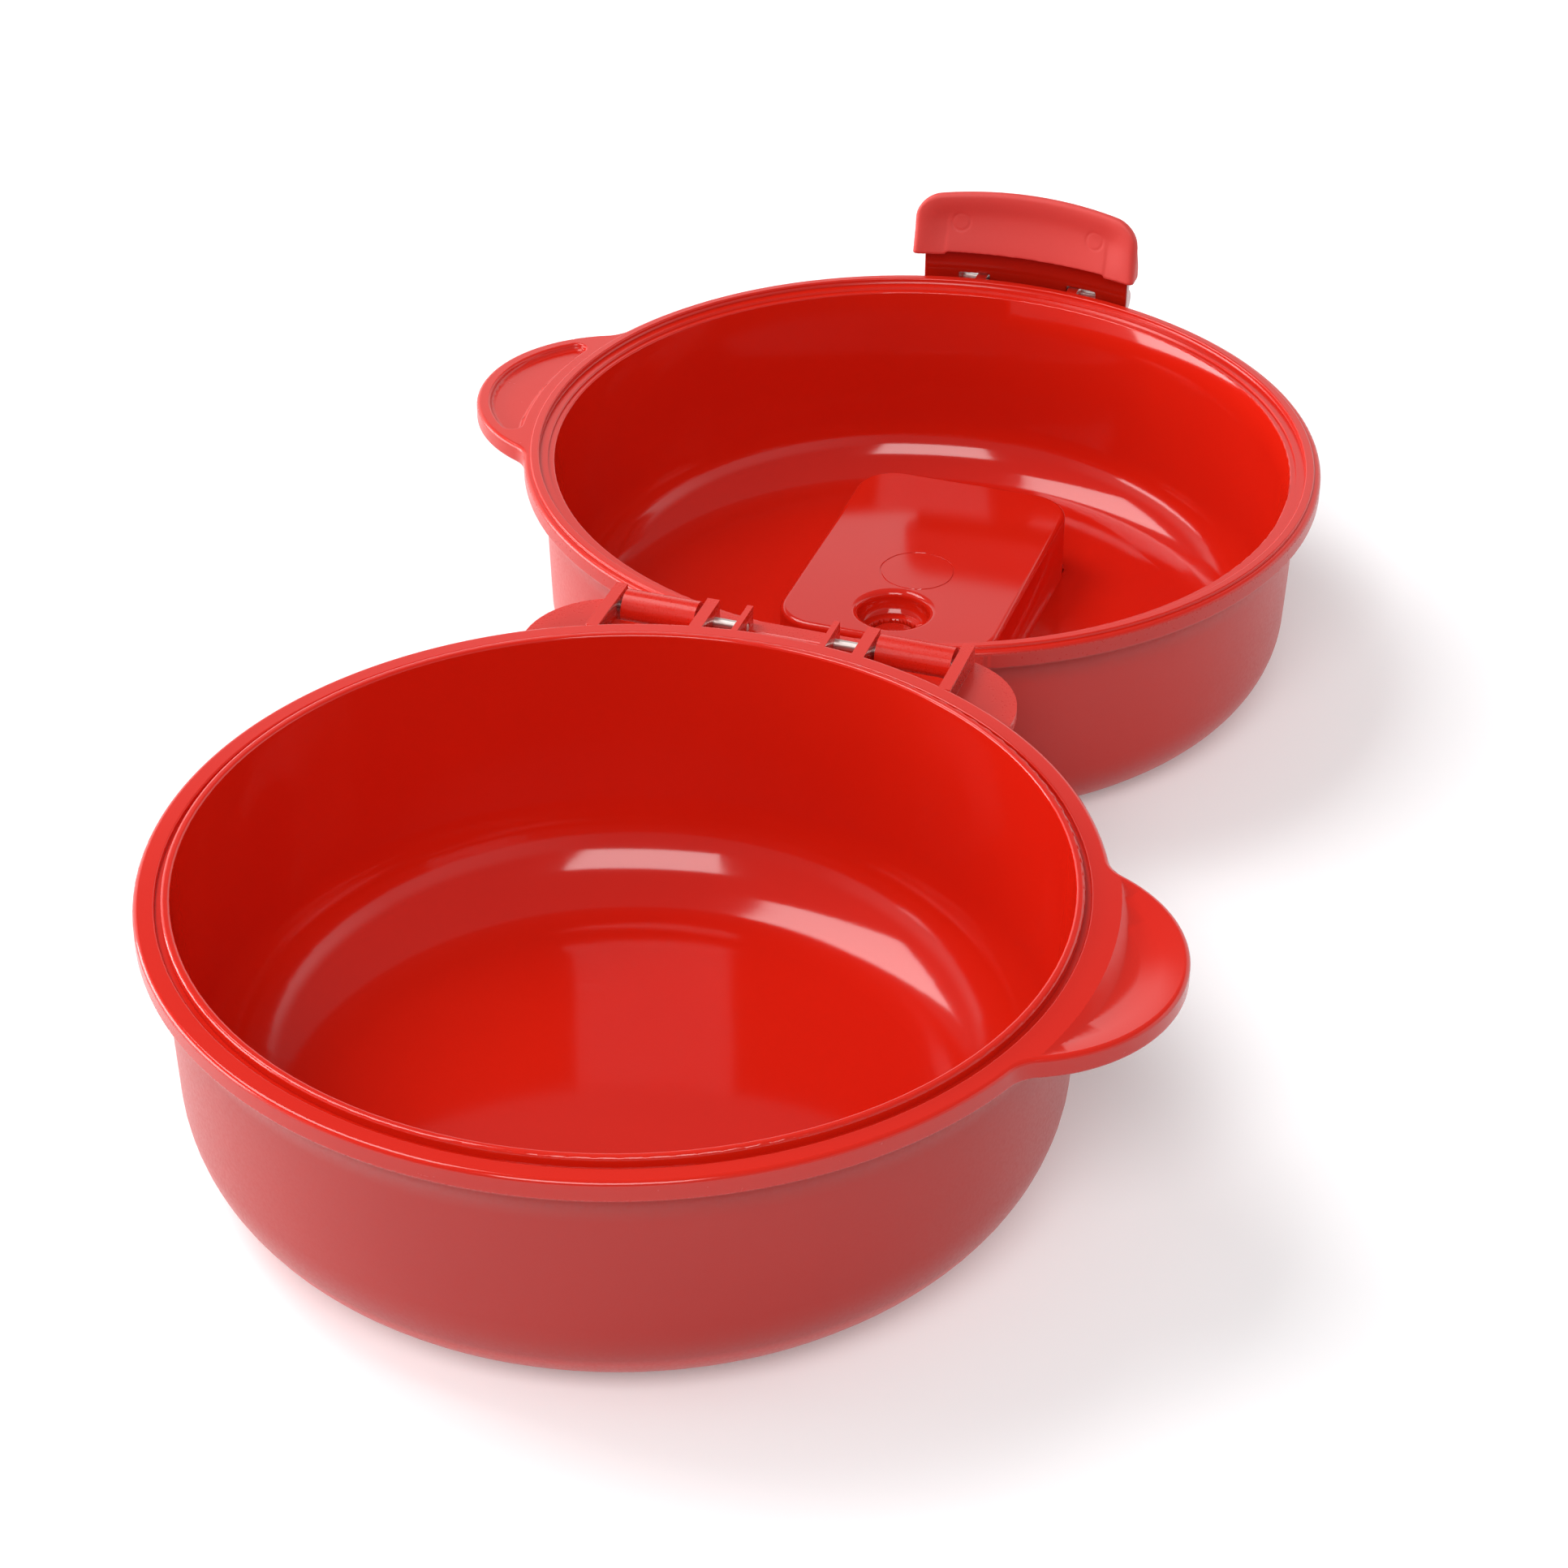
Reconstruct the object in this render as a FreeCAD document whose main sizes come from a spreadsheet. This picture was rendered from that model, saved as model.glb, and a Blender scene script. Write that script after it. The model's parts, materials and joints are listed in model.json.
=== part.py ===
import FreeCAD, Part
import math
import os
import Sketcher

# Egg cooker: two moulded bowls hinged at the rim, a finger clip and a vent flap.
# Millimetres, +Z up. The base stands at the origin, the open lid stands beside it towards +Y.

doc = FreeCAD.newDocument("egg_cooker")
sheet = doc.addObject("Spreadsheet::Sheet", "sizes")


# How far apart two lengths may be and still count as the same, in millimetres
SAME = 0.02


class Size:
    """A length that carries its value and the spreadsheet expression it comes from."""

    rows = 0

    def __init__(self, value, text):
        self.value = float(value)
        self.text = text

    @staticmethod
    def of(other):
        return other if isinstance(other, Size) else Size(other, repr(float(other)))

    def __add__(self, other):
        other = Size.of(other)
        return Size(self.value + other.value, f"({self.text} + {other.text})")

    def __sub__(self, other):
        other = Size.of(other)
        return Size(self.value - other.value, f"({self.text} - {other.text})")

    def __mul__(self, other):
        other = Size.of(other)
        return Size(self.value * other.value, f"({self.text} * {other.text})")

    def __truediv__(self, other):
        other = Size.of(other)
        return Size(self.value / other.value, f"({self.text} / {other.text})")

    def __neg__(self):
        return Size(-self.value, f"(-1 * {self.text})")


def size(alias, value):
    Size.rows += 1
    sheet.set(f"A{Size.rows}", alias)
    sheet.set(f"B{Size.rows}", str(value))
    sheet.setAlias(f"B{Size.rows}", alias)
    return Size(value, f"sizes.{alias}")


# Bowls and rim
rim_radius = size("rim_radius", 56.0)
base_height = size("base_height", 37.1)
lid_step = size("lid_step", 5.0)
flange_thick = size("flange_thick", 2.8)
wall_thick = size("wall_thick", 1.6)
wall_inset = size("wall_inset", 2.8)
wall_slope = size("wall_slope", 0.038)
base_corner = size("base_corner", 14.5)
lid_corner = size("lid_corner", 10.6)
edge_round = size("edge_round", 0.6)
fine_round = size("fine_round", 0.25)
lip_round = size("lip_round", 0.4)
lip_width = size("lip_width", 1.1)
lip_height = size("lip_height", 0.7)
groove_width = size("groove_width", 0.7)
groove_depth = size("groove_depth", 0.6)
band_height = size("band_height", 0.4)
band_width = size("band_width", 1.3)
band_inset = size("band_inset", 0.9)
ledge_width = size("ledge_width", 1.2)
ledge_depth = size("ledge_depth", 0.5)
ledge_step = size("ledge_step", 0.4)
rim_gap = size("rim_gap", 0.8)
overrun = size("overrun", 1.0)

# Ears
ear_inset = size("ear_inset", 10.4)
ear_radius = size("ear_radius", 20.4)
ear_blend = size("ear_blend", 5.0)
scoop_border = size("scoop_border", 2.0)
scoop_depth = size("scoop_depth", 2.3)
scoop_draft = size("scoop_draft", 40.0)
dish_border = size("dish_border", 0.7)
panel_depth = size("panel_depth", 0.9)
panel_round = size("panel_round", 0.7)
panel_edge = size("panel_edge", 0.4)

# Hinge
hinge_reach = size("hinge_reach", 3.6)
pin_radius = size("pin_radius", 0.65)
press_clear = size("press_clear", 0.01)
turn_clear = size("turn_clear", 0.05)
barrel_radius = size("barrel_radius", 2.3)
plate_drop = size("plate_drop", 2.6)
plate_thick = size("plate_thick", 1.6)
plate_back = size("plate_back", 2.9)
plate_half = size("plate_half", 32.4)
plate_corner = size("plate_corner", 12.0)
small_lug = size("small_lug", 5.45)
small_lug_wide = size("small_lug_wide", 0.8)
inner_lug = size("inner_lug", 10.0)
inner_lug_wide = size("inner_lug_wide", 1.65)
outer_lug = size("outer_lug", 22.6)
outer_lug_wide = size("outer_lug_wide", 1.55)
barrel_gap = size("barrel_gap", 0.5)
slot_clear = size("slot_clear", 0.4)
pin_bite = size("pin_bite", 1.0)
arm_low = size("arm_low", 1.85)
arm_high = size("arm_high", 2.05)

# Latch
latch_out = size("latch_out", 3.2)
latch_drop = size("latch_drop", 1.8)
latch_pin_radius = size("latch_pin_radius", 0.6)
latch_knuckle = size("latch_knuckle", 1.7)
neck_clear = size("neck_clear", 1.0)
neck_thick = size("neck_thick", 2.0)
neck_half = size("neck_half", 16.0)
hook_bite = size("hook_bite", 1.2)
hook_step = size("hook_step", 0.5)
hook_end = size("hook_end", 12.4)
hook_clear = size("hook_clear", 0.3)
paddle_half = size("paddle_half", 17.4)
paddle_tall = size("paddle_tall", 10.3)
paddle_corner = size("paddle_corner", 3.4)
crown_drop = size("crown_drop", 1.3)
paddle_border = size("paddle_border", 1.6)
paddle_recess = size("paddle_recess", 0.6)
latch_lug = size("latch_lug", 6.4)
latch_lug_wide = size("latch_lug_wide", 1.6)
side_clear = size("side_clear", 0.3)
window_end = size("window_end", 10.8)
knuckle_end = size("knuckle_end", 15.4)

# Vent
block_half = size("block_half", 16.0)
block_far = size("block_far", 28.0)
block_near = size("block_near", 19.5)
block_top = size("block_top", 12.0)
block_corner = size("block_corner", 6.0)
block_edge = size("block_edge", 0.8)
recess_corner = size("recess_corner", 0.6)
vent_y = size("vent_y", -11.6)
vent_radius = size("vent_radius", 5.0)
vent_round = size("vent_round", 1.0)
vent_wall = size("vent_wall", 1.6)
vent_tube = size("vent_tube", 3.0)
seat_radius = size("seat_radius", 3.8)
seat_thick = size("seat_thick", 1.0)
gate_radius = size("gate_radius", 5.4)
gate_line = size("gate_line", 0.25)
flap_clear = size("flap_clear", 0.35)
flap_sink = size("flap_sink", 0.6)
flap_thick = size("flap_thick", 2.2)
flap_axis = size("flap_axis", 2.2)
flap_tail = size("flap_tail", 1.5)
finger_gap = size("finger_gap", 2.5)
stub_radius = size("stub_radius", 1.0)
stub_long = size("stub_long", 1.2)
stub_end = size("stub_end", 0.15)
plug_clear = size("plug_clear", 0.4)
plug_bite = size("plug_bite", 0.6)
plug_round = size("plug_round", 0.48)

# Levels and positions that follow from the sizes
ear_centre = rim_radius - ear_inset
lid_height = base_height - lid_step
axis_y = rim_radius + hinge_reach
lid_y = axis_y * 2
axis_z = (base_height + lid_height + rim_gap) / 2
flange_low = base_height - flange_thick
lid_flange_low = lid_height - flange_thick
wall_radius = rim_radius - wall_inset
inside_radius = wall_radius - wall_thick
lug_radius = base_height - axis_z
plate_top = base_height - plate_drop
plate_low = plate_top - plate_thick
latch_y = rim_radius + latch_out
latch_z = lid_height - latch_drop
hook_z = lid_height + rim_gap + flange_thick + hook_clear
pocket_top = block_top - wall_thick
flap_y = block_far - wall_thick - flap_axis
flap_z = flap_sink + flap_thick / 2


def plane_of(body, role):
    return next(item for item in body.Origin.OriginFeatures if item.Role == role)


def new_body(label):
    body = doc.addObject("PartDesign::Body", label)
    body.Label = label
    return body


def new_sketch(body, name, role, offset=0, across=0):
    """Sketch on one of the body's planes, moved off it and across it."""
    sketch = body.newObject("Sketcher::SketchObject", name)
    sketch.AttachmentSupport = [(plane_of(body, role), "")]
    sketch.MapMode = "FlatFace"
    offset = Size.of(offset)
    across = Size.of(across)
    place = FreeCAD.Vector(across.value, 0, offset.value)
    sketch.AttachmentOffset = FreeCAD.Placement(place, FreeCAD.Rotation())
    sketch.setExpression("AttachmentOffset.Base.x", across.text)
    sketch.setExpression("AttachmentOffset.Base.z", offset.text)
    return sketch


def pin_point(sketch, curve, point, across, up):
    """Hold one sketch point at a pair of sizes."""
    for kind, length, axis in (("DistanceX", across, -2), ("DistanceY", up, -1)):
        length = Size.of(length)
        if abs(length.value) < 1e-9:
            sketch.addConstraint(Sketcher.Constraint("PointOnObject", curve, point, axis))
        else:
            index = sketch.addConstraint(Sketcher.Constraint(kind, curve, point, length.value))
            sketch.setExpression(f"Constraints[{index}]", length.text)


def hold_radius(sketch, curve, radius):
    radius = Size.of(radius)
    index = sketch.addConstraint(Sketcher.Constraint("Radius", curve, radius.value))
    sketch.setExpression(f"Constraints[{index}]", radius.text)


def vector(across, up):
    return FreeCAD.Vector(Size.of(across).value, Size.of(up).value, 0)


def polygon(sketch, points):
    """Closed outline through points, each held at its own sizes."""
    start = sketch.GeometryCount
    ends = points[1:] + points[:1]
    for first, last in zip(points, ends):
        sketch.addGeometry(Part.LineSegment(vector(*first), vector(*last)), False)
    for step in range(len(points)):
        follower = start + (step + 1) % len(points)
        sketch.addConstraint(Sketcher.Constraint("Coincident", start + step, 2, follower, 1))
    for step, point in enumerate(points):
        pin_point(sketch, start + step, 1, *point)


def circle(sketch, across, up, radius):
    round_curve = Part.Circle(vector(across, up), FreeCAD.Vector(0, 0, 1), Size.of(radius).value)
    index = sketch.addGeometry(round_curve, False)
    pin_point(sketch, index, 3, across, up)
    hold_radius(sketch, index, radius)


def add_arc(sketch, across, up, radius, start, end):
    """Arc drawn counter-clockwise between two angles in radians."""
    round_curve = Part.Circle(vector(across, up), FreeCAD.Vector(0, 0, 1), Size.of(radius).value)
    index = sketch.addGeometry(Part.ArcOfCircle(round_curve, start, end), False)
    pin_point(sketch, index, 3, across, up)
    hold_radius(sketch, index, radius)
    return index


def add_line(sketch, first, last):
    return sketch.addGeometry(Part.LineSegment(first, last), False)


def join(sketch, first, first_end, second, second_end):
    sketch.addConstraint(Sketcher.Constraint("Coincident", first, first_end, second, second_end))


def end_of(sketch, curve, point):
    return sketch.getPoint(curve, point)


def lug_outline(sketch, root, low, centre, height, radius):
    """Side view of a lug: a bar from root to the pin axis with a half round nose."""
    nose = add_arc(sketch, centre, height, radius, -math.pi / 2, math.pi / 2)
    top = add_line(sketch, end_of(sketch, nose, 2), vector(root, height + radius))
    back = add_line(sketch, vector(root, height + radius), vector(root, low))
    foot = add_line(sketch, vector(root, low), end_of(sketch, nose, 1))
    join(sketch, nose, 2, top, 1)
    join(sketch, top, 2, back, 1)
    join(sketch, back, 2, foot, 1)
    join(sketch, foot, 2, nose, 1)
    for point in (1, 2):
        sketch.addConstraint(Sketcher.Constraint("Vertical", nose, point, nose, 3))
    sketch.addConstraint(Sketcher.Constraint("Horizontal", top))
    sketch.addConstraint(Sketcher.Constraint("Vertical", back))
    pin_point(sketch, back, 2, root, low)


def sector_outline(sketch, inner, outer, half):
    """Plan view of a curved bar between two radii, cut off straight at both ends."""
    angles = [math.acos(half.value / radius.value) for radius in (inner, outer)]
    arcs = []
    for radius, angle in zip((inner, outer), angles):
        arcs.append(add_arc(sketch, 0, 0, radius, angle, math.pi - angle))
    right = add_line(sketch, end_of(sketch, arcs[0], 1), end_of(sketch, arcs[1], 1))
    left = add_line(sketch, end_of(sketch, arcs[1], 2), end_of(sketch, arcs[0], 2))
    join(sketch, arcs[0], 1, right, 1)
    join(sketch, right, 2, arcs[1], 1)
    join(sketch, arcs[1], 2, left, 1)
    join(sketch, left, 2, arcs[0], 2)
    for line in (right, left):
        sketch.addConstraint(Sketcher.Constraint("Vertical", line))
    for line, side in ((right, half), (left, -half)):
        index = sketch.addConstraint(Sketcher.Constraint("DistanceX", line, 1, side.value))
        sketch.setExpression(f"Constraints[{index}]", side.text)


def feature(body, kind, name, sketch, length=None, back=False):
    """Pad, Pocket, Revolution or Groove made from a sketch; a cut has to remove something."""
    item = body.newObject(f"PartDesign::{kind}", name)
    item.Profile = sketch
    if length is None:
        item.ReferenceAxis = (sketch, ["V_Axis"])
        item.Angle = 360.0
    else:
        length = Size.of(length)
        item.Length = length.value
        item.setExpression("Length", length.text)
        item.Reversed = back
    sketch.Visibility = False
    doc.recompute()
    if kind in ("Pocket", "Groove") and item.Shape.Volume > item.BaseFeature.Shape.Volume - 1e-6:
        raise RuntimeError(f"{body.Label} {name} removed nothing")
    return item


def mirror(body, name, originals):
    item = body.newObject("PartDesign::Mirrored", name)
    item.Originals = originals
    item.MirrorPlane = (plane_of(body, "YZ_Plane"), [""])
    body.Tip = item
    doc.recompute()
    return item


def fillet(body, name, radius, choose):
    """Round the edges of the body's tip that choose() accepts."""
    tip = body.Tip
    names = [f"Edge{n + 1}" for n, edge in enumerate(tip.Shape.Edges) if choose(edge)]
    if not names:
        raise RuntimeError(f"{body.Label} {name} found no edge")
    item = body.newObject("PartDesign::Fillet", name)
    item.Base = (tip, names)
    item.Radius = radius.value
    item.setExpression("Radius", radius.text)
    doc.recompute()
    return item


def middle_of(edge):
    return edge.valueAt((edge.FirstParameter + edge.LastParameter) / 2)


def flat_at(edge, level):
    box = edge.BoundBox
    return box.ZLength < SAME and near_to(box.ZMin, Size.of(level).value)


def near_to(value, goal):
    return abs(value - goal) < SAME


def upright(edge):
    box = edge.BoundBox
    return box.ZLength > SAME and box.XLength < SAME and box.YLength < SAME


def from_axis(edge):
    middle = middle_of(edge)
    return math.hypot(middle.x, middle.y)


def turned(body, kind, name, points):
    """Revolution or Groove of an outline about the bowl's upright axis."""
    outline = new_sketch(body, f"{name}_sketch", "XZ_Plane")
    polygon(outline, points)
    return feature(body, kind, name, outline)


def solid_bowl(body, height, corner):
    """The bowl's outside with its flange, still filled."""
    low = height - flange_thick
    foot = wall_radius - low * wall_slope
    flange = [(wall_radius, low), (rim_radius, low), (rim_radius, height), (0, height)]
    turned(body, "Revolution", "outside", [(0, 0), (foot, 0)] + flange)
    fillet(body, "corner", corner, lambda edge: flat_at(edge, 0) and from_axis(edge) > SAME)


def hollow_bowl(body, height, corner):
    """Cut the inside to an even wall, its corner concentric with the outside one."""
    inner = corner - wall_thick
    mouth = inside_radius + flange_thick * wall_slope
    lean = math.atan(wall_slope.value)
    near_wall = mouth.value - (height.value - corner.value) * wall_slope.value
    centre = FreeCAD.Vector(near_wall - inner.value / math.cos(lean), corner.value, 0)
    sketch = new_sketch(body, "inside_sketch", "XZ_Plane")
    ring = Part.Circle(centre, FreeCAD.Vector(0, 0, 1), inner.value)
    bend = sketch.addGeometry(Part.ArcOfCircle(ring, -math.pi / 2, -lean), False)
    floor = add_line(sketch, vector(0, wall_thick), end_of(sketch, bend, 1))
    wall = add_line(sketch, end_of(sketch, bend, 2), vector(mouth, height))
    top = add_line(sketch, vector(mouth, height), vector(0, height))
    middle = add_line(sketch, vector(0, height), vector(0, wall_thick))
    for first, second in ((floor, bend), (wall, top), (top, middle), (middle, floor)):
        join(sketch, first, 2, second, 1)
    sketch.addConstraint(Sketcher.Constraint("Tangent", bend, 2, wall, 1))
    sketch.addConstraint(Sketcher.Constraint("Vertical", bend, 1, bend, 3))
    sketch.addConstraint(Sketcher.Constraint("Horizontal", floor))
    hold_radius(sketch, bend, inner)
    slope = sketch.addConstraint(Sketcher.Constraint("Angle", wall, math.pi / 2 - lean))
    sketch.setExpression(f"Constraints[{slope}]", f"90 deg - atan({wall_slope.text})")
    pin_point(sketch, floor, 1, 0, wall_thick)
    pin_point(sketch, top, 1, mouth, height)
    pin_point(sketch, top, 2, 0, height)
    feature(body, "Groove", "inside", sketch)


def scoop_shape(label, height, side):
    """What the scoop takes out of an ear: a shallow dish round the ear's centre, outside the rim only."""
    dish = new_body(label)
    reach = ear_radius - dish_border
    ball = (reach * reach + scoop_depth * scoop_depth) / (scoop_depth * 2)
    roof = height + overrun
    turn = math.asin(reach.value / ball.value)
    sketch = new_sketch(dish, "dish_sketch", "XZ_Plane", 0, ear_centre * side)
    bowl = add_arc(sketch, 0, height - scoop_depth + ball, ball, -math.pi / 2, turn - math.pi / 2)
    edge = add_line(sketch, end_of(sketch, bowl, 2), vector(reach, roof))
    top = add_line(sketch, vector(reach, roof), vector(0, roof))
    middle = add_line(sketch, vector(0, roof), end_of(sketch, bowl, 1))
    for first, second in ((bowl, edge), (edge, top), (top, middle), (middle, bowl)):
        join(sketch, first, 2, second, 1)
    sketch.addConstraint(Sketcher.Constraint("PointOnObject", bowl, 1, -2))
    sketch.addConstraint(Sketcher.Constraint("Vertical", edge))
    pin_point(sketch, top, 1, reach, roof)
    pin_point(sketch, top, 2, 0, roof)
    feature(dish, "Revolution", "dish", sketch)
    rim = new_sketch(dish, "rim_sketch", "XY_Plane", roof)
    draft = math.tan(math.radians(scoop_draft.value))
    circle(rim, 0, 0, rim_radius + scoop_border / 2 - overrun * draft)
    wall = feature(dish, "Pocket", "rim_side", rim, overrun + scoop_depth * 2)
    wall.setExpression("TaperAngle", scoop_draft.text)
    doc.recompute()
    return dish


def add_ear(body, height, side):
    """Half round ear blended into the rim; side is +1 or -1 along X."""
    low = height - flange_thick
    outline = new_sketch(body, "ear_sketch", "XY_Plane", low)
    circle(outline, ear_centre * side, 0, ear_radius)
    feature(body, "Pad", "ear", outline, flange_thick)
    corner = ear_radius.value / 2
    fillet(body, "ear_blends", ear_blend, lambda edge: upright(edge) and abs(middle_of(edge).y) > corner)
    rim = rim_radius.value - SAME
    fillet(
        body,
        "rim_edges",
        edge_round,
        lambda edge: (flat_at(edge, height) or flat_at(edge, low)) and from_axis(edge) > rim,
    )


def dish_ear(body, height, side):
    """Scoop a shallow dish out of the ear."""
    cut = body.newObject("PartDesign::Boolean", "scoop")
    cut.Type = "Cut"
    cut.setObjects([scoop_shape(f"{body.Label}_scoop", height, side)])
    doc.recompute()
    if cut.Shape.Volume > cut.BaseFeature.Shape.Volume - SAME:
        raise RuntimeError(f"{body.Label} scoop removed nothing")


def panel_ear(body, height, side):
    """Sink a flat panel with a raised border into the ear."""
    inner = rim_radius + scoop_border / 2
    outer = ear_radius - scoop_border
    cross = (inner.value**2 - outer.value**2 + ear_centre.value**2) / (2 * ear_centre.value)
    rise = math.sqrt(inner.value**2 - cross**2)
    turn = 0.0 if side > 0 else math.pi
    panel = new_sketch(body, "panel_sketch", "XY_Plane", height)
    spread = math.atan2(rise, cross)
    rim_arc = add_arc(panel, 0, 0, inner, turn - spread, turn + spread)
    spread = math.atan2(rise, cross - ear_centre.value)
    ear_arc = add_arc(panel, ear_centre * side, 0, outer, turn - spread, turn + spread)
    join(panel, rim_arc, 1, ear_arc, 1)
    join(panel, rim_arc, 2, ear_arc, 2)
    feature(body, "Pocket", "panel", panel, panel_depth)
    dip = height - panel_depth
    corner = ear_radius.value / 2
    inside = rim_radius.value + panel_edge.value

    def in_panel(edge):
        middle = middle_of(edge)
        reach = math.hypot(abs(middle.x) - ear_centre.value, middle.y)
        return from_axis(edge) > inner.value - SAME and reach < outer.value + SAME

    def at_cusp(edge):
        return upright(edge) and in_panel(edge) and abs(middle_of(edge).y) > corner

    fillet(body, "panel_cusps", panel_round * 2, at_cusp)
    fillet(body, "panel_floor", panel_round, lambda edge: flat_at(edge, dip) and from_axis(edge) > inside)
    fillet(body, "panel_rim", panel_edge, lambda edge: flat_at(edge, height) and in_panel(edge))


def rounded_outline(sketch, half, low, high, corner):
    """Rectangle from low to high in Y and half to each side in X, with round corners."""
    centres = [
        (half - corner, low + corner, -math.pi / 2),
        (half - corner, high - corner, 0.0),
        (corner - half, high - corner, math.pi / 2),
        (corner - half, low + corner, math.pi),
    ]
    arcs = [add_arc(sketch, across, up, corner, turn, turn + math.pi / 2) for across, up, turn in centres]
    for step, arc in enumerate(arcs):
        following = arcs[(step + 1) % 4]
        line = add_line(sketch, end_of(sketch, arc, 2), end_of(sketch, following, 1))
        join(sketch, arc, 2, line, 1)
        join(sketch, line, 2, following, 1)
        level, plumb = (2, 1) if step % 2 == 0 else (1, 2)
        sketch.addConstraint(Sketcher.Constraint("Horizontal", arc, level, arc, 3))
        sketch.addConstraint(Sketcher.Constraint("Vertical", arc, plumb, arc, 3))


def side_pad(body, name, start, wide, draw, *shape):
    """Pad a side view along X from start."""
    outline = new_sketch(body, f"{name}_sketch", "YZ_Plane", start)
    draw(outline, *shape)
    return feature(body, "Pad", name, outline, wide)


def bore(body, name, start, long, across, up, radius):
    """Round hole along +X from start."""
    outline = new_sketch(body, f"{name}_sketch", "YZ_Plane", start)
    circle(outline, across, up, radius)
    return feature(body, "Pocket", name, outline, long, True)


def crown_outline(sketch, half, top, drop):
    """Everything above a shallow arch, seen from the front, with room to spare at the sides."""
    radius = (half * half + drop * drop) / (drop * 2)
    reach = half + drop
    roof = top + drop
    turn = math.acos(reach.value / radius.value)
    arch = add_arc(sketch, 0, top - radius, radius, turn, math.pi - turn)
    right = add_line(sketch, vector(reach, roof), end_of(sketch, arch, 1))
    left = add_line(sketch, end_of(sketch, arch, 2), vector(-reach, roof))
    across = add_line(sketch, vector(-reach, roof), vector(reach, roof))
    join(sketch, right, 2, arch, 1)
    join(sketch, arch, 2, left, 1)
    join(sketch, left, 2, across, 1)
    join(sketch, across, 2, right, 1)
    for line in (right, left):
        sketch.addConstraint(Sketcher.Constraint("Vertical", line))
    pin_point(sketch, across, 1, -reach, roof)
    pin_point(sketch, across, 2, reach, roof)


def on_paddle(edge, inner, outer, low):
    """True for an edge above low that runs along the paddle's inner or outer face."""
    ends = [vertex.Point for vertex in edge.Vertexes]
    reaches = [math.hypot(point.x, point.y) for point in ends]
    for face in (inner, outer):
        if all(near_to(reach, face.value) for reach in reaches):
            return max(point.z for point in ends) > low.value
    return False


# Base bowl with its ear, hinge plate and lugs
base = new_body("base_bowl")
solid_bowl(base, base_height, base_corner)
add_ear(base, base_height, 1)
dish_ear(base, base_height, 1)

plate_y = axis_y + plate_back
plate = new_sketch(base, "plate_sketch", "XY_Plane", plate_low)
rounded_outline(plate, plate_half, rim_radius / 2 - plate_corner, plate_y, plate_corner)
feature(base, "Pad", "hinge_plate", plate, plate_thick)

slot_in = inner_lug + inner_lug_wide
slot_root = axis_y - barrel_radius - slot_clear
slot_end = plate_y + slot_clear
slot = new_sketch(base, "slot_sketch", "XY_Plane", plate_low)
polygon(slot, [(slot_in, slot_root), (outer_lug, slot_root), (outer_lug, slot_end), (slot_in, slot_end)])
hinge_sides = [feature(base, "Pocket", "barrel_slot", slot, plate_thick, True)]
lug_root = rim_radius - flange_thick * 2
lug_back = axis_y + lug_radius
lug_side = [
    (lug_root, plate_low),
    (lug_back, plate_low),
    (lug_back, base_height),
    (lug_root, base_height),
]
for name, start, wide in (
    ("small_lug", small_lug, small_lug_wide),
    ("inner_lug", inner_lug, inner_lug_wide),
    ("outer_lug", outer_lug, outer_lug_wide),
):
    hinge_sides.append(side_pad(base, name, start, wide, polygon, lug_side))
pin_tip = outer_lug + pin_bite
hinge_sides.append(bore(base, "pin_bore", 0, pin_tip, axis_y, axis_z, pin_radius + press_clear))
mirror(base, "hinge_left", hinge_sides)
hollow_bowl(base, base_height, base_corner)
lip_inner = inside_radius + flange_thick * wall_slope
lip_radius = lip_inner + lip_width
groove_radius = lip_radius + groove_width
groove_low = base_height - groove_depth
base_top = base_height + lip_height
lip = [(lip_inner, groove_low), (lip_radius, groove_low), (lip_radius, base_top), (lip_inner, base_top)]
turned(base, "Revolution", "lip", lip)
channel = [
    (lip_radius, groove_low),
    (groove_radius, groove_low),
    (groove_radius, base_top),
    (lip_radius, base_top),
]
turned(base, "Groove", "channel", channel)
fillet(base, "lip_edges", lip_round, lambda edge: flat_at(edge, base_top))
groove_edge = groove_radius.value
fillet(
    base,
    "channel_edge",
    fine_round,
    lambda edge: flat_at(edge, base_height) and near_to(from_axis(edge), groove_edge),
)

# Lid bowl, drawn upside down about its own axis and set down behind the hinge
lid = new_body("lid_bowl")
solid_bowl(lid, lid_height, lid_corner)
add_ear(lid, lid_height, -1)
panel_ear(lid, lid_height, -1)

barrel_start = slot_in + barrel_gap
barrel_long = outer_lug - barrel_gap - barrel_start
lid_axis = axis_y - lid_y
arm_root = lug_root * -1
arm_points = [
    (lid_axis - barrel_radius / 2, axis_z - arm_low),
    (lid_axis + barrel_radius / 2, lid_flange_low),
    (arm_root, lid_flange_low),
    (arm_root, lid_height),
    (lid_axis + hinge_reach, lid_height),
    (lid_axis + arm_high, axis_z),
    (lid_axis, axis_z),
]
lid_sides = [
    side_pad(lid, "barrel_arm", barrel_start, barrel_long, polygon, arm_points),
    side_pad(lid, "barrel", barrel_start, barrel_long, circle, lid_axis, axis_z, barrel_radius),
    bore(
        lid,
        "barrel_bore",
        barrel_start - overrun,
        barrel_long + overrun * 2,
        lid_axis,
        axis_z,
        pin_radius + turn_clear,
    ),
    side_pad(
        lid,
        "latch_lug",
        latch_lug,
        latch_lug_wide,
        lug_outline,
        lug_root,
        lid_flange_low,
        latch_y,
        latch_z,
        latch_knuckle,
    ),
    bore(
        lid,
        "latch_bore",
        latch_lug - overrun,
        latch_lug_wide + overrun * 2,
        latch_y,
        latch_z,
        latch_pin_radius + press_clear,
    ),
]
mirror(lid, "lid_left", lid_sides)
hollow_bowl(lid, lid_height, lid_corner)
band_out = rim_radius - band_inset
band_in = band_out - band_width
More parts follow.
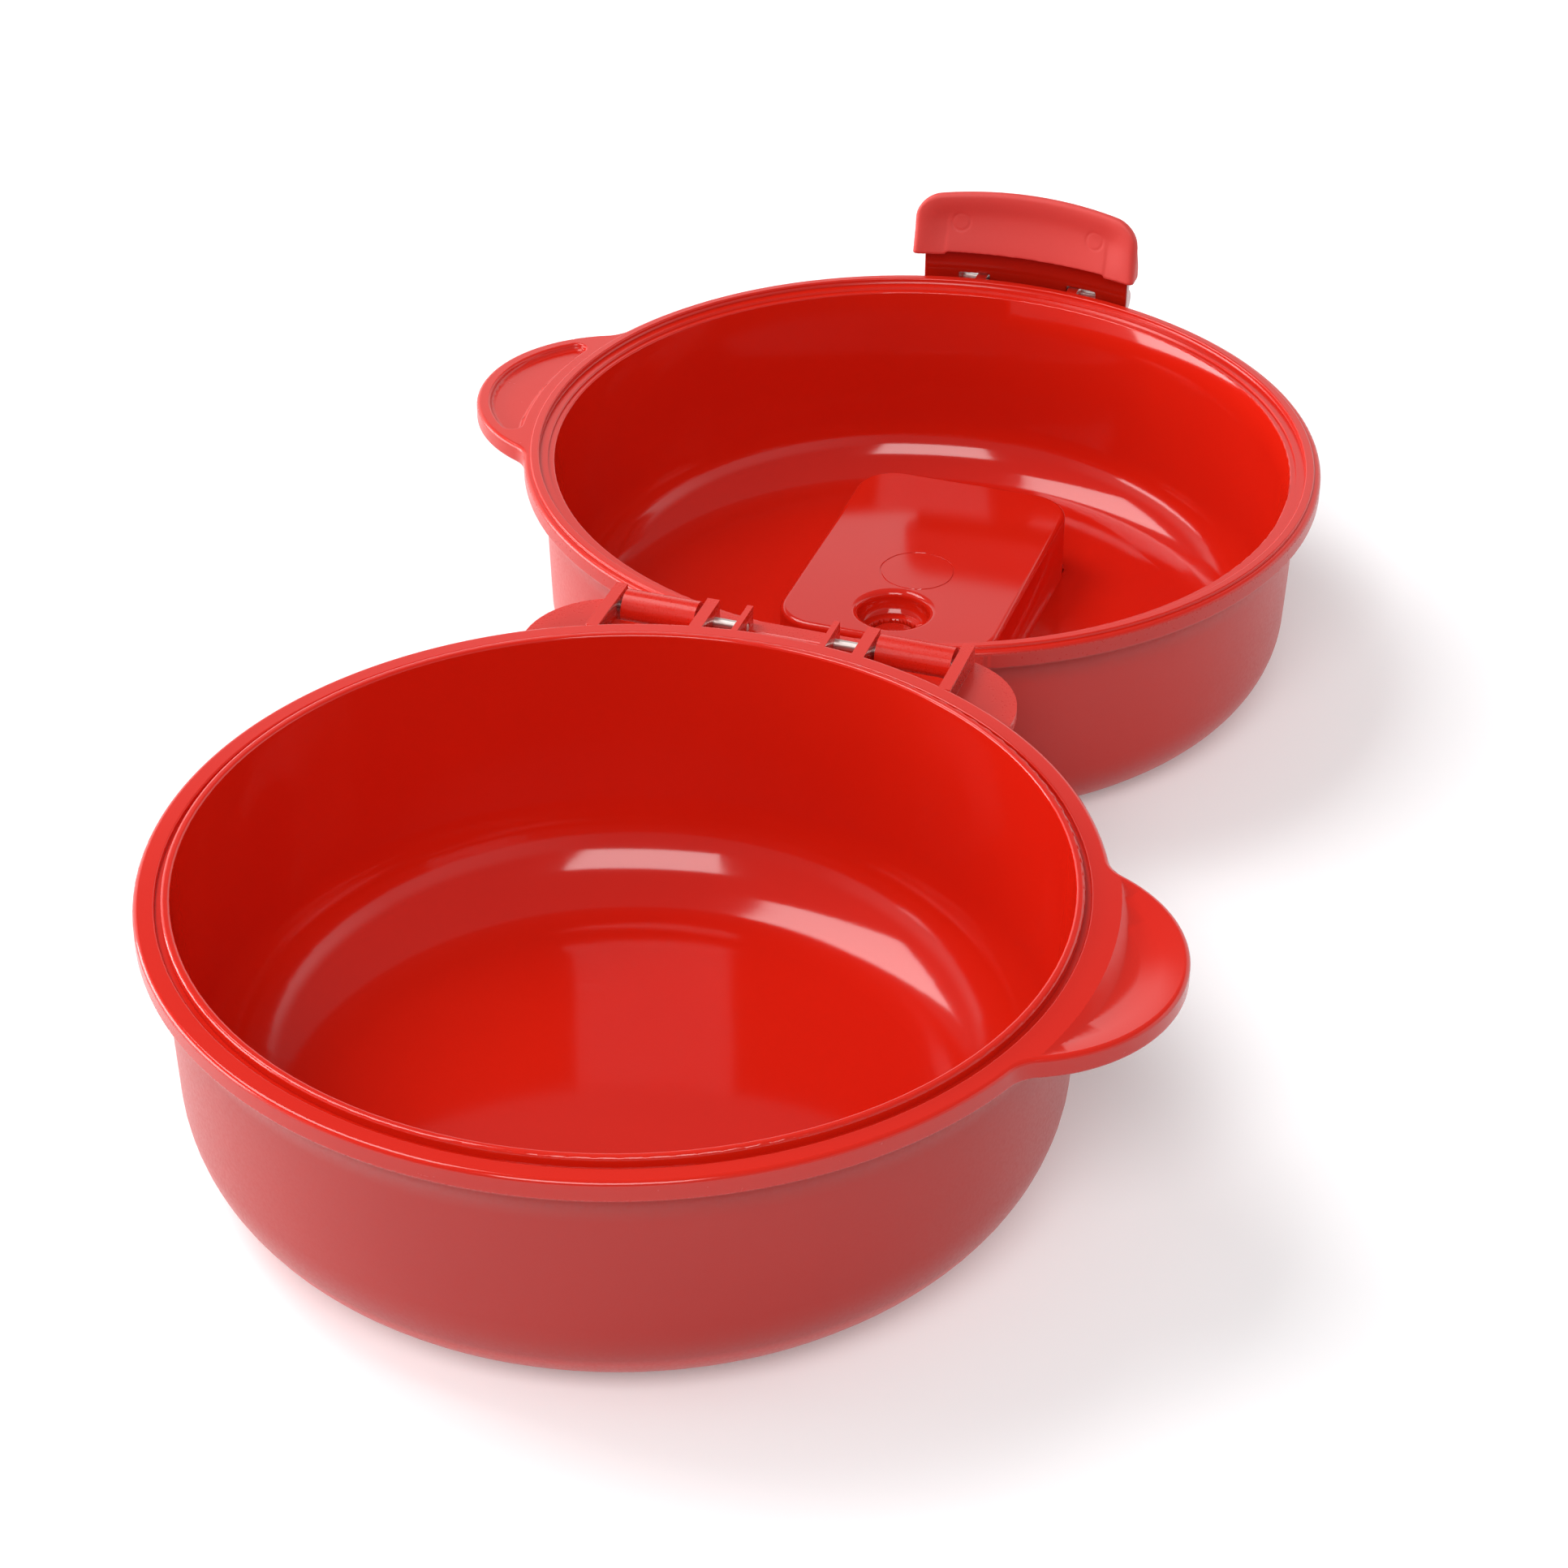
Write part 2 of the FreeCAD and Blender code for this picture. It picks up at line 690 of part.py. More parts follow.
ledge_in = band_in - ledge_width
lid_top = lid_height + band_height
ledge_z = lid_height - ledge_depth
ledge_low = ledge_z - ledge_step
inner_edge = inside_radius - lip_width
band = [(band_in, ledge_z), (band_out, ledge_z), (band_out, lid_top), (band_in, lid_top)]
turned(lid, "Revolution", "band", band)
ledge = [
    (inner_edge, ledge_low),
    (ledge_in, ledge_low),
    (ledge_in, ledge_z),
    (band_in, ledge_z),
    (band_in, lid_top),
    (inner_edge, lid_top),
]
turned(lid, "Groove", "ledge", ledge)
fillet(lid, "band_edges", fine_round, lambda edge: flat_at(edge, lid_top))
mouth_edge = (inside_radius + (ledge_low - lid_flange_low) * wall_slope).value
fillet(
    lid,
    "mouth_round",
    fine_round,
    lambda edge: flat_at(edge, ledge_low) and near_to(from_axis(edge), mouth_edge),
)

# Vent block inside the lid, its recess outside and the stepped vent hole
block = new_sketch(lid, "block_sketch", "XY_Plane", wall_thick / 2)
rounded_outline(block, block_half, -block_near, block_far, block_corner)
feature(lid, "Pad", "vent_block", block, block_top - wall_thick / 2)
fillet(lid, "block_edges", block_edge, lambda edge: flat_at(edge, block_top))
recess_half = block_half - wall_thick
recess_near = wall_thick - block_near
recess_far = block_far - wall_thick
recess = new_sketch(lid, "recess_sketch", "XY_Plane")
rounded_outline(recess, recess_half, recess_near, recess_far, recess_corner)
feature(lid, "Pocket", "vent_recess", recess, pocket_top, True)
tube_low = pocket_top - vent_tube
tube = new_sketch(lid, "tube_sketch", "XY_Plane", tube_low)
circle(tube, 0, vent_y, vent_radius + vent_wall)
feature(lid, "Pad", "vent_tube", tube, vent_tube + wall_thick / 2)
seat_top = tube_low + seat_thick
mouth = new_sketch(lid, "mouth_sketch", "XY_Plane", block_top)
circle(mouth, 0, vent_y, vent_radius)
feature(lid, "Pocket", "vent_mouth", mouth, block_top - seat_top)
seat = new_sketch(lid, "seat_sketch", "XY_Plane", seat_top)
circle(seat, 0, vent_y, seat_radius)
feature(lid, "Pocket", "vent_seat", seat, seat_thick)


def round_vent(edge):
    """True for an edge inside the vent's tube, seen from above."""
    middle = middle_of(edge)
    return math.hypot(middle.x, middle.y - vent_y.value) < (vent_radius + vent_wall).value


fillet(lid, "mouth_edge", vent_round, lambda edge: flat_at(edge, block_top) and round_vent(edge))
gate = new_sketch(lid, "gate_sketch", "XY_Plane", block_top)
circle(gate, 0, 0, gate_radius)
circle(gate, 0, 0, gate_radius - gate_line)
feature(lid, "Pocket", "gate_mark", gate, gate_line / 2)
stub_deep = stub_long + stub_end + overrun
stub_hole = bore(lid, "stub_hole", recess_half - overrun, stub_deep, flap_y, flap_z, stub_radius + turn_clear)
mirror(lid, "stub_hole_left", [stub_hole])
lid.setExpression("Placement.Base.y", lid_y.text)

# Latch clip, drawn as it stands when it grips the base flange
latch = new_body("latch_clip")
neck_in = rim_radius + neck_clear
neck_out = neck_in + neck_thick
hook_radius = rim_radius - hook_bite
paddle_top = hook_z + paddle_tall
neck = new_sketch(latch, "neck_sketch", "XY_Plane", latch_z)
sector_outline(neck, neck_in, neck_out, neck_half)
feature(latch, "Pad", "neck", neck, hook_z - latch_z + hook_step * 2)
paddle = new_sketch(latch, "paddle_sketch", "XY_Plane", hook_z)
sector_outline(paddle, hook_radius, neck_out, paddle_half)
feature(latch, "Pad", "paddle", paddle, paddle_tall)
crown_sketch = new_sketch(latch, "crown_sketch", "XZ_Plane", paddle_half / 3 - hook_radius)
crown_outline(crown_sketch, paddle_half, paddle_top, crown_drop)
feature(latch, "Pocket", "crown", crown_sketch, paddle_half)
shoulder = paddle_top - crown_drop
fillet(
    latch,
    "paddle_corners",
    paddle_corner,
    lambda edge: flat_at(edge, shoulder) and near_to(abs(middle_of(edge).x), paddle_half.value),
)
fillet(
    latch,
    "paddle_edges",
    edge_round,
    lambda edge: on_paddle(edge, hook_radius, neck_out, hook_z + hook_step),
)
panel = new_sketch(latch, "panel_sketch", "XY_Plane", hook_z)
sector_outline(panel, hook_radius - overrun, hook_radius + paddle_recess, paddle_half - paddle_border)
feature(latch, "Pocket", "panel", panel, paddle_tall - paddle_border, True)
step = new_sketch(latch, "step_sketch", "XY_Plane", hook_z)
sector_outline(step, hook_radius - overrun, neck_in, hook_end)
feature(latch, "Pocket", "hook_step", step, hook_step, True)
window_start = latch_lug - side_clear
window_low = latch_z - latch_knuckle
window_in = rim_radius - neck_thick
window_out = latch_y + latch_knuckle
window_top = latch_z + latch_knuckle + side_clear
window = new_sketch(latch, "window_sketch", "XY_Plane", window_low)
window_corners = [
    (window_start, window_in),
    (window_end, window_in),
    (window_end, window_out),
    (window_start, window_out),
]
polygon(window, window_corners)
latch_sides = [feature(latch, "Pocket", "window", window, window_top - window_low, True)]
side_bar = (rim_radius + side_clear, latch_z - latch_knuckle, latch_y, latch_z, latch_knuckle)
side_long = knuckle_end - window_end
latch_sides.append(side_pad(latch, "side_knuckle", window_end, side_long, lug_outline, *side_bar))
middle_bar = (latch_y, latch_z, latch_knuckle)
latch_sides.append(side_pad(latch, "middle_knuckle", 0, window_start, circle, *middle_bar))
latch_pin_start = window_start / 2
latch_pin_end = knuckle_end - side_clear * 2
latch_pin_long = latch_pin_end - latch_pin_start
latch_sides.append(
    bore(
        latch,
        "latch_pin_bore",
        latch_pin_start - side_clear,
        latch_pin_long + side_clear * 2,
        latch_y,
        latch_z,
        latch_pin_radius + turn_clear,
    )
)
mirror(latch, "latch_left", latch_sides)
latch.setExpression("Placement.Base.y", lid_y.text)

# Vent flap with its plug and two stub pins, drawn in the lid's frame
flap = new_body("vent_flap")
flap_half = recess_half - flap_clear
flap_near = recess_near + finger_gap
flap_far = flap_y + flap_tail
board = new_sketch(flap, "board_sketch", "XY_Plane", flap_sink)
board_corners = [
    (-flap_half, flap_near),
    (flap_half, flap_near),
    (flap_half, flap_far),
    (-flap_half, flap_far),
]
polygon(board, board_corners)
feature(flap, "Pad", "board", board, flap_thick)
fillet(
    flap,
    "board_corners",
    block_corner / 2,
    lambda edge: upright(edge) and near_to(middle_of(edge).y, flap_near.value),
)
fillet(flap, "board_edges", fine_round, lambda edge: flat_at(edge, flap_sink))
plug = new_sketch(flap, "plug_sketch", "XY_Plane", flap_sink + flap_thick / 2)
circle(plug, 0, vent_y, seat_radius - plug_clear)
plug_top = tube_low + plug_bite
feature(flap, "Pad", "plug", plug, plug_top - flap_sink - flap_thick / 2)
fillet(flap, "plug_edge", plug_round, lambda edge: flat_at(edge, plug_top))
stub_reach = overrun + flap_clear + stub_long
stub = side_pad(flap, "stub", flap_half - overrun, stub_reach, circle, flap_y, flap_z, stub_radius)
mirror(flap, "stub_left", [stub])
flap.setExpression("Placement.Base.y", lid_y.text)


def steel_pin(label, start, long, across, up, radius, side):
    """Round pin along X; side is +1 or -1."""
    pin = new_body(label)
    outline = new_sketch(pin, "round", "YZ_Plane", start * side)
    circle(outline, across, up, radius)
    feature(pin, "Pad", "shank", outline, long, side < 0)
    return pin


hinge_start = small_lug + press_clear
hinge_long = pin_tip - hinge_start - press_clear
pins = []
for word, side in (("right", 1), ("left", -1)):
    pins.append(steel_pin(f"hinge_pin_{word}", hinge_start, hinge_long, axis_y, axis_z, pin_radius, side))
    latch_place = (lid_y + latch_y, latch_z, latch_pin_radius)
    pins.append(steel_pin(f"latch_pin_{word}", latch_pin_start, latch_pin_long, *latch_place, side))

doc.recompute()
bodies = [base, lid, latch, flap] + pins
for item in doc.Objects:
    if "Invalid" in item.State or "Error" in item.State:
        raise RuntimeError(f"{item.Name} is {item.State}")
for body in bodies:
    if body.Shape.isNull() or not body.Shape.isValid() or len(body.Shape.Solids) != 1:
        raise RuntimeError(f"{body.Label} is not one valid solid")
os.makedirs("parts", exist_ok=True)
for body in bodies:
    body.Shape.exportStep(f"parts/{body.Label}.step")
    print(body.Label, round(body.Shape.Volume, 1))
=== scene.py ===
import json
import math
from typing import NamedTuple

import bmesh
import bpy
from bpy.props import FloatProperty, FloatVectorProperty, IntProperty, PointerProperty
from mathutils import Matrix, Quaternion, Vector


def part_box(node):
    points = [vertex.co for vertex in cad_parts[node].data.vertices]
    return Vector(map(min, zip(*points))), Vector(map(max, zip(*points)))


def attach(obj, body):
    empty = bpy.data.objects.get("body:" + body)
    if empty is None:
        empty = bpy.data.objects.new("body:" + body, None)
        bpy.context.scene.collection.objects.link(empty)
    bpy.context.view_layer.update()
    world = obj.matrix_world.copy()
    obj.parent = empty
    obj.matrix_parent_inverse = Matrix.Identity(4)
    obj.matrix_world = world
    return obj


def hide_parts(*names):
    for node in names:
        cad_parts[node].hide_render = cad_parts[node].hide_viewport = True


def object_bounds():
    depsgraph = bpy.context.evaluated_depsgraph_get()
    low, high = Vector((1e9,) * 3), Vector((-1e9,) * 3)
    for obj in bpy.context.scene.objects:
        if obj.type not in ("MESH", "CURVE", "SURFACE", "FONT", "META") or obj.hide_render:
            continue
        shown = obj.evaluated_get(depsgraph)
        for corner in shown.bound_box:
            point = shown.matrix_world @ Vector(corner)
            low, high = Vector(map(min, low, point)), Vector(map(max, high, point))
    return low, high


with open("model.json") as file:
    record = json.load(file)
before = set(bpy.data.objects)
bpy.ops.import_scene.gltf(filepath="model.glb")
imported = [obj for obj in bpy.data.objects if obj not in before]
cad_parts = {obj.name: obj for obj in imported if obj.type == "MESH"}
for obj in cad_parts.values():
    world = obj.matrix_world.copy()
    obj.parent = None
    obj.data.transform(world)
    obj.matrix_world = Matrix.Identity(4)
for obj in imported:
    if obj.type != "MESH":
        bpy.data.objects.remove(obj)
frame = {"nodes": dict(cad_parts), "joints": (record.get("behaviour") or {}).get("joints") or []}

bl_info = {
    "name": "Egg cooker",
    "version": (1, 0, 0),
    "blender": (4, 5, 0),
    "location": "View3D > Sidebar > Egg cooker",
    "description": "Finishes the bowls, clip, pins and flap of a hinged egg cooker and sets its stage",
    "category": "Object",
}

# Lengths are in metres, and points nearer than WELD are one point
MM = 0.001
WELD = 0.001 * MM

# A face is level if its normal's Z is past LEVEL, and an edge is sharp if it turns more than its crease
LEVEL = 0.9995
MOULD_CREASE = math.radians(32)
WIRE_CREASE = math.radians(30)

# Noise lies mostly in this span
NOISE_SPAN = (0.3, 0.7)
WHITE = (1.0, 1.0, 1.0, 1.0)

# Polish and painted light of the plastic, each from 0 to 1; where the painted light is below 1 the
# colour is darkened as painted shade
INSIDE_POLISH_AND_PAINTED_LIGHT = (1.0, 1.0)
CORNER_POLISH_AND_PAINTED_LIGHT = (0.0, 0.6)
HINGE_POLISH_AND_PAINTED_LIGHT = (0.3, 1.0)
FLAP_POLISH_AND_PAINTED_LIGHT = (0.3, 0.5)

# Places that come from the frame
CAD_LOW, CAD_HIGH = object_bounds()
JOINTS = {joint["name"]: joint for joint in frame["joints"]}
HINGE_Y = JOINTS["lid_hinge"]["pos_m"][1]
LID_Y = HINGE_Y * 2
LATCH_PIVOT = Vector(JOINTS["latch_hinge"]["pos_m"])
NODES = frame["nodes"]


class Bowl(NamedTuple):
    """Where a bowl stands, which way its ear points, how polished its rim and ear are, and how much
    painted shade darkens its outer wall.
    """

    node: str
    body: str
    centre: float
    side: float
    rim_polish: float
    ear_polish: float
    outer_painted_light: float


BOWLS = (
    Bowl("base_bowl", "base", centre=0.0, side=1.0, rim_polish=1.0, ear_polish=1.0, outer_painted_light=0.0),
    Bowl("lid_bowl", "lid", centre=LID_Y, side=-1.0, rim_polish=0.5, ear_polish=0.45, outer_painted_light=0.4),
)


# Settings


class PlasticFinish(bpy.types.PropertyGroup):
    """Colour and surface of the moulded red plastic, with its painted shade and painted sheen."""

    colour: FloatVectorProperty(
        name="Colour",
        description="Body colour of the plastic",
        subtype="COLOR",
        size=3,
        min=0.0,
        max=1.0,
        default=(0.6, 0.012, 0.004),
    )
    gloss: FloatProperty(
        name="Polished roughness",
        description="Roughness of the inside of the bowls and the rim tops",
        subtype="FACTOR",
        min=0.0,
        max=1.0,
        default=0.1,
    )
    satin: FloatProperty(
        name="Satin roughness",
        description="Roughness of the outer walls and the hinge",
        subtype="FACTOR",
        min=0.0,
        max=1.0,
        default=0.36,
    )
    matt: FloatProperty(
        name="Matt roughness",
        description="Roughness of the clip's finger face",
        subtype="FACTOR",
        min=0.0,
        max=1.0,
        default=0.55,
    )
    # Painted sheen: a white veil mixed into the colour of the clip's finger face
    painted_sheen: FloatProperty(
        name="Matt bloom",
        description="How much paler the clip's finger face is",
        subtype="FACTOR",
        min=0.0,
        max=1.0,
        default=0.035,
    )
    # Painted shade: the share of the colour kept where the painted light attribute is 0, on the satin
    # faces
    painted_light: FloatProperty(
        name="Satin shade",
        description="How much of the colour the satin faces show",
        subtype="FACTOR",
        min=0.0,
        max=1.0,
        default=0.62,
    )
    grain: FloatProperty(
        name="Mould grain",
        description="Spacing of the fine grain left by the mould",
        unit="LENGTH",
        default=0.45 * MM,
    )


class BowlShape(bpy.types.PropertyGroup):
    """Sizes of the bowls that tell their polished faces from the satin ones, which are darkened by
    painted shade.
    """

    inside: FloatProperty(
        name="Inside radius",
        description="Radius inside which a bowl is polished",
        unit="LENGTH",
        default=51.9 * MM,
    )
    slope: FloatProperty(
        name="Wall slope",
        description="How much the bowl narrows for each unit of depth",
        default=0.038,
    )
    rim: FloatProperty(
        name="Rim radius", description="Outer radius of the rim", unit="LENGTH", default=56.0 * MM
    )
    flange: FloatProperty(
        name="Flange", description="Depth of the rim flange", unit="LENGTH", default=2.8 * MM
    )
    edge: FloatProperty(
        name="Edge round",
        description="Radius of the rim's outer edges",
        unit="LENGTH",
        default=0.6 * MM,
    )
    ear: FloatProperty(
        name="Ear radius", description="Radius of the ears", unit="LENGTH", default=20.4 * MM
    )
    ear_inset: FloatProperty(
        name="Ear inset",
        description="How far an ear's centre lies inside the rim",
        unit="LENGTH",
        default=10.4 * MM,
    )
    hinge_half: FloatProperty(
        name="Hinge half width",
        description="Half the width of the hinge plate",
        unit="LENGTH",
        default=33.0 * MM,
    )


class ClipShape(bpy.types.PropertyGroup):
    """Sizes of the finger clip, as it stands when it grips."""

    tip: FloatProperty(
        name="Hook tip", description="Radius of the hook's tip", unit="LENGTH", default=54.85 * MM
    )
    neck: FloatProperty(
        name="Neck face",
        description="Radius of the neck's inner face",
        unit="LENGTH",
        default=57.05 * MM,
    )
    back: FloatProperty(
        name="Back", description="Radius of the clip's back", unit="LENGTH", default=58.95 * MM
    )
    half: FloatProperty(
        name="Half width",
        description="Half the width of the paddle",
        unit="LENGTH",
        default=17.35 * MM,
    )
    neck_half: FloatProperty(
        name="Neck half width",
        description="Half the width of the neck",
        unit="LENGTH",
        default=15.95 * MM,
    )
    ledge: FloatProperty(
        name="Ledge height",
        description="Height of the hook's ledge",
        unit="LENGTH",
        default=36.05 * MM,
    )
    top: FloatProperty(
        name="Top", description="Height of the clip's crown", unit="LENGTH", default=46.25 * MM
    )
    crown: FloatProperty(
        name="Crown",
        description="How far the top edge drops at the sides",
        unit="LENGTH",
        default=1.3 * MM,
    )
    corner: FloatProperty(
        name="Corner",
        description="Radius of the paddle's upper corners",
        unit="LENGTH",
        default=3.6 * MM,
    )
    end: FloatProperty(
        name="End round", description="Radius of the paddle's ends", unit="LENGTH", default=1.0 * MM
    )
    dish: FloatProperty(
        name="Dish", description="Depth of the finger dish", unit="LENGTH", default=0.7 * MM
    )
    slant: FloatProperty(
        name="Slant",
        description="How far the face leans back at its top",
        unit="LENGTH",
        default=1.2 * MM,
    )
    taper: FloatProperty(
        name="Taper",
        description="How far the back leans in at its top",
        unit="LENGTH",
        default=1.3 * MM,
    )
    step: FloatProperty(
        name="Ledge step",
        description="Rise of the ledge between its ends",
        unit="LENGTH",
        default=0.5 * MM,
    )
    step_half: FloatProperty(
        name="Step half width",
        description="Half the width of the raised ledge",
        unit="LENGTH",
        default=12.4 * MM,
    )
    window_in: FloatProperty(
        name="Window start",
        description="Inner side of a pin window",
        unit="LENGTH",
        default=6.1 * MM,
    )
    window_out: FloatProperty(
        name="Window end",
        description="Outer side of a pin window",
        unit="LENGTH",
        default=10.8 * MM,
    )
    window_rise: FloatProperty(
        name="Window rise",
        description="Top of a pin window above the pins",
        unit="LENGTH",
        default=2.0 * MM,
    )
    knuckle: FloatProperty(
        name="Knuckle",
        description="Radius of the knuckles round the pins",
        unit="LENGTH",
        default=1.65 * MM,
    )
    knuckle_end: FloatProperty(
        name="Knuckle end",
        description="Outer end of the side knuckles",
        unit="LENGTH",
        default=15.35 * MM,
    )
    mark: FloatProperty(
        name="Ejector mark",
        description="Radius of the two ejector marks",
        unit="LENGTH",
        default=1.3 * MM,
    )
    mark_at: FloatProperty(
        name="Mark place",
        description="Distance of a mark from the middle",
        unit="LENGTH",
        default=10.4 * MM,
    )
    voxel: FloatProperty(
        name="Mesh size",
        description="Size of the mesh that joins the clip's parts",
        unit="LENGTH",
        default=0.16 * MM,
    )


class PinFinish(bpy.types.PropertyGroup):
    """Shape and surface of the steel pins."""

    chamfer: FloatProperty(
        name="End chamfer",
        description="Chamfer on the cut ends of the pins",
        unit="LENGTH",
        default=0.2 * MM,
    )
    sides: IntProperty(name="Sides", description="Facets round a pin", min=12, default=48)
    # The colour is steel grey with a pinkish tint that is painted reflection of the red plastic round
    # the pins
    colour: FloatVectorProperty(
        name="Colour",
        description="Colour of the drawn steel wire",
        subtype="COLOR",
        size=3,
        min=0.0,
        max=1.0,
        default=(0.68, 0.6, 0.57),
    )


class StageSettings(bpy.types.PropertyGroup):
    """Camera and floor colour."""

    lens: FloatProperty(name="Lens", description="Focal length", unit="CAMERA", default=85.5)
    azimuth: FloatProperty(
        name="Azimuth",
        description="Camera angle round the object",
        unit="ROTATION",
        default=math.radians(18.07),
    )
    elevation: FloatProperty(
        name="Elevation",
        description="Camera angle above the table",
        unit="ROTATION",
        default=math.radians(33.31),
    )
    roll: FloatProperty(
        name="Roll",
        description="Camera turn about its line of sight",
        unit="ROTATION",
        default=math.radians(0.67),
    )
    distance: FloatProperty(
        name="Distance",
        description="Camera distance from its target",
        unit="LENGTH",
        default=477.3 * MM,
    )
    target: FloatVectorProperty(
        name="Target",
        description="Point the camera looks at",
        subtype="XYZ",
        size=3,
        default=(2.64 * MM, 50.43 * MM, 18.5 * MM),
    )
    floor: FloatVectorProperty(
        name="Floor",
        description="Colour of the floor",
        subtype="COLOR",
        size=3,
        min=0.0,
        max=1.0,
        default=(0.86, 0.86, 0.87),
    )


# Materials


class Nodes:
    """Short way to write a node tree."""

    def __init__(self, tree, owner=None):
        self.tree = tree
        self.owner = owner
        self.tree.nodes.clear()

    @classmethod
    def material(cls, name):
        """Empty tree of a new material."""
        material = bpy.data.materials.new(name)
        material.use_nodes = True
        return cls(material.node_tree, material)

    def add(self, kind, inputs=None, **settings):
        """New node, with its settings made before its inputs are fed."""
        node = self.tree.nodes.new(kind)
        for key, value in settings.items():
            setattr(node, key, value)
        for key, value in (inputs or {}).items():
            self.feed(node.inputs[key], value)
        return node

    def feed(self, socket, value):
        """Link an output to a socket, or set the socket to a plain value."""
        if isinstance(value, bpy.types.NodeSocket):
            self.tree.links.new(value, socket)
        else:
            socket.default_value = value

    def math(self, operation, first, second=0.0, clamp=False):
        node = self.add("ShaderNodeMath", {0: first, 1: second}, operation=operation, use_clamp=clamp)
        return node.outputs[0]

    def ramp(self, value, low, high, to_low=0.0, to_high=1.0):
        """A value carried from one span to another."""
        node = self.add(
            "ShaderNodeMapRange",
            {"Value": value, "From Min": low, "From Max": high, "To Min": to_low, "To Max": to_high},
        )
        return node.outputs["Result"]

    def mix(self, factor, first, second):
        node = self.add("ShaderNodeMix", {"Factor": factor, "A": first, "B": second}, data_type="FLOAT")
        return node.outputs["Result"]

    def noise(self, place, scale, detail=2.0):
        node = self.add("ShaderNodeTexNoise", {"Vector": place, "Scale": scale, "Detail": detail})
        return node.outputs["Fac"]

    def bump(self, height, strength, distance, under=None):
        node = self.add("ShaderNodeBump", {"Height": height, "Strength": strength, "Distance": distance})
        if under is not None:
            self.feed(node.inputs["Normal"], under)
        return node.outputs[0]

    def finish(self, shader):
        """The material, with the shader on its surface."""
        output = self.add("ShaderNodeOutputMaterial")
        self.tree.links.new(shader, output.inputs["Surface"])
        return self.owner


def moulded_plastic(name, finish, dull, painted_sheen=0.0):
    """Red moulded plastic.

    It is dull where the polish attribute is 0 and polished where it is 1. Where painted light is 1 it
    has its full colour, with any painted sheen as a white veil over it, and where that is 0 it is
    darkened by painted shade.
    """
    satin_spread = 0.04
    gloss_spread = 0.015
    scuff_wear = 0.05
    nodes = Nodes.material(name)
    place = nodes.add("ShaderNodeTexCoord").outputs["Object"]
    polish = nodes.add("ShaderNodeAttribute", attribute_name="polish").outputs["Fac"]
    painted_light = nodes.add("ShaderNodeAttribute", attribute_name="painted_light").outputs["Fac"]
    flow = nodes.noise(place, scale=26.0, detail=3.0)
    grain = nodes.noise(place, scale=1.0 / finish.grain)
    waves = nodes.noise(place, scale=70.0, detail=1.0)
    brushed = nodes.add("ShaderNodeMapping", {"Vector": place, "Scale": (140.0, 2600.0, 900.0)})
    scuffs = nodes.ramp(nodes.noise(brushed.outputs[0], scale=1.0, detail=4.0), low=0.62, high=0.74)
    red = finish.colour
    deep = (red[0] * 0.92, red[1] * 0.8, red[2] * 0.9, 1.0)
    warm = (min(1.0, red[0] * 1.06), red[1] * 1.25, red[2] * 1.05, 1.0)
    tint = nodes.add("ShaderNodeMix", {"Factor": flow, "A": deep, "B": warm}, data_type="RGBA")
    satin = nodes.ramp(grain, *NOISE_SPAN, to_low=dull - satin_spread, to_high=dull + satin_spread)
    gloss = nodes.ramp(
        flow, *NOISE_SPAN, to_low=finish.gloss - gloss_spread, to_high=finish.gloss + gloss_spread
    )
    worn = nodes.math("MULTIPLY_ADD", scuffs, scuff_wear)
    nodes.feed(worn.node.inputs[2], gloss)
    swell = nodes.bump(waves, strength=0.04, distance=0.2 * MM)
    grain_strength = nodes.mix(polish, 0.05, 0.015)
    fine = nodes.bump(grain, grain_strength, distance=0.03 * MM, under=swell)
    # Painted shade: the colour is scaled down towards the satin level where the painted light attribute
    # is below 1
    strength = nodes.mix(painted_light, finish.painted_light, 1.0)
    # Painted sheen: a white veil is mixed into the colour where the painted light attribute is 1
    painted_sheen_share = nodes.math("MULTIPLY", painted_light, painted_sheen)
    painted_sheen_tint = nodes.add(
        "ShaderNodeMix", {"Factor": painted_sheen_share, "A": tint.outputs["Result"], "B": WHITE}, data_type="RGBA"
    )
    colour = nodes.add(
        "ShaderNodeVectorMath", {0: painted_sheen_tint.outputs["Result"], "Scale": strength}, operation="SCALE"
    )
    shader = nodes.add(
        "ShaderNodeBsdfPrincipled",
        {
            "Base Color": colour.outputs["Vector"],
            "Roughness": nodes.mix(polish, satin, worn),
            "IOR": 1.49,
            "Normal": fine,
        },
    )
    return nodes.finish(shader.outputs[0])


def drawn_steel(name, finish):
    """Drawn wire with fine lines along the pin."""
    nodes = Nodes.material(name)
    place = nodes.add("ShaderNodeTexCoord").outputs["Object"]
    stretched = nodes.add("ShaderNodeMapping", {"Vector": place, "Scale": (60.0, 5200.0, 5200.0)})
    lines = nodes.noise(stretched.outputs[0], scale=1.0, detail=3.0)
    shader = nodes.add(
        "ShaderNodeBsdfPrincipled",
        {
            "Base Color": (*finish.colour, 1.0),
            "Metallic": 1.0,
            "Roughness": nodes.ramp(lines, *NOISE_SPAN, to_low=0.4, to_high=0.55),
            "Normal": nodes.bump(lines, strength=0.15, distance=0.01 * MM),
        },
    )
    return nodes.finish(shader.outputs[0])


# Shared helpers


def wear(obj, material):
    """Give a piece one material."""
    obj.data.materials.clear()
    obj.data.materials.append(material)


def new_piece(name, mesh, body, node):
    """Show a finished mesh in place of a CAD node."""
    piece = bpy.data.objects.new(name, mesh)
    bpy.context.scene.collection.objects.link(piece)
    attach(piece, body)
    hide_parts(node)
    return piece


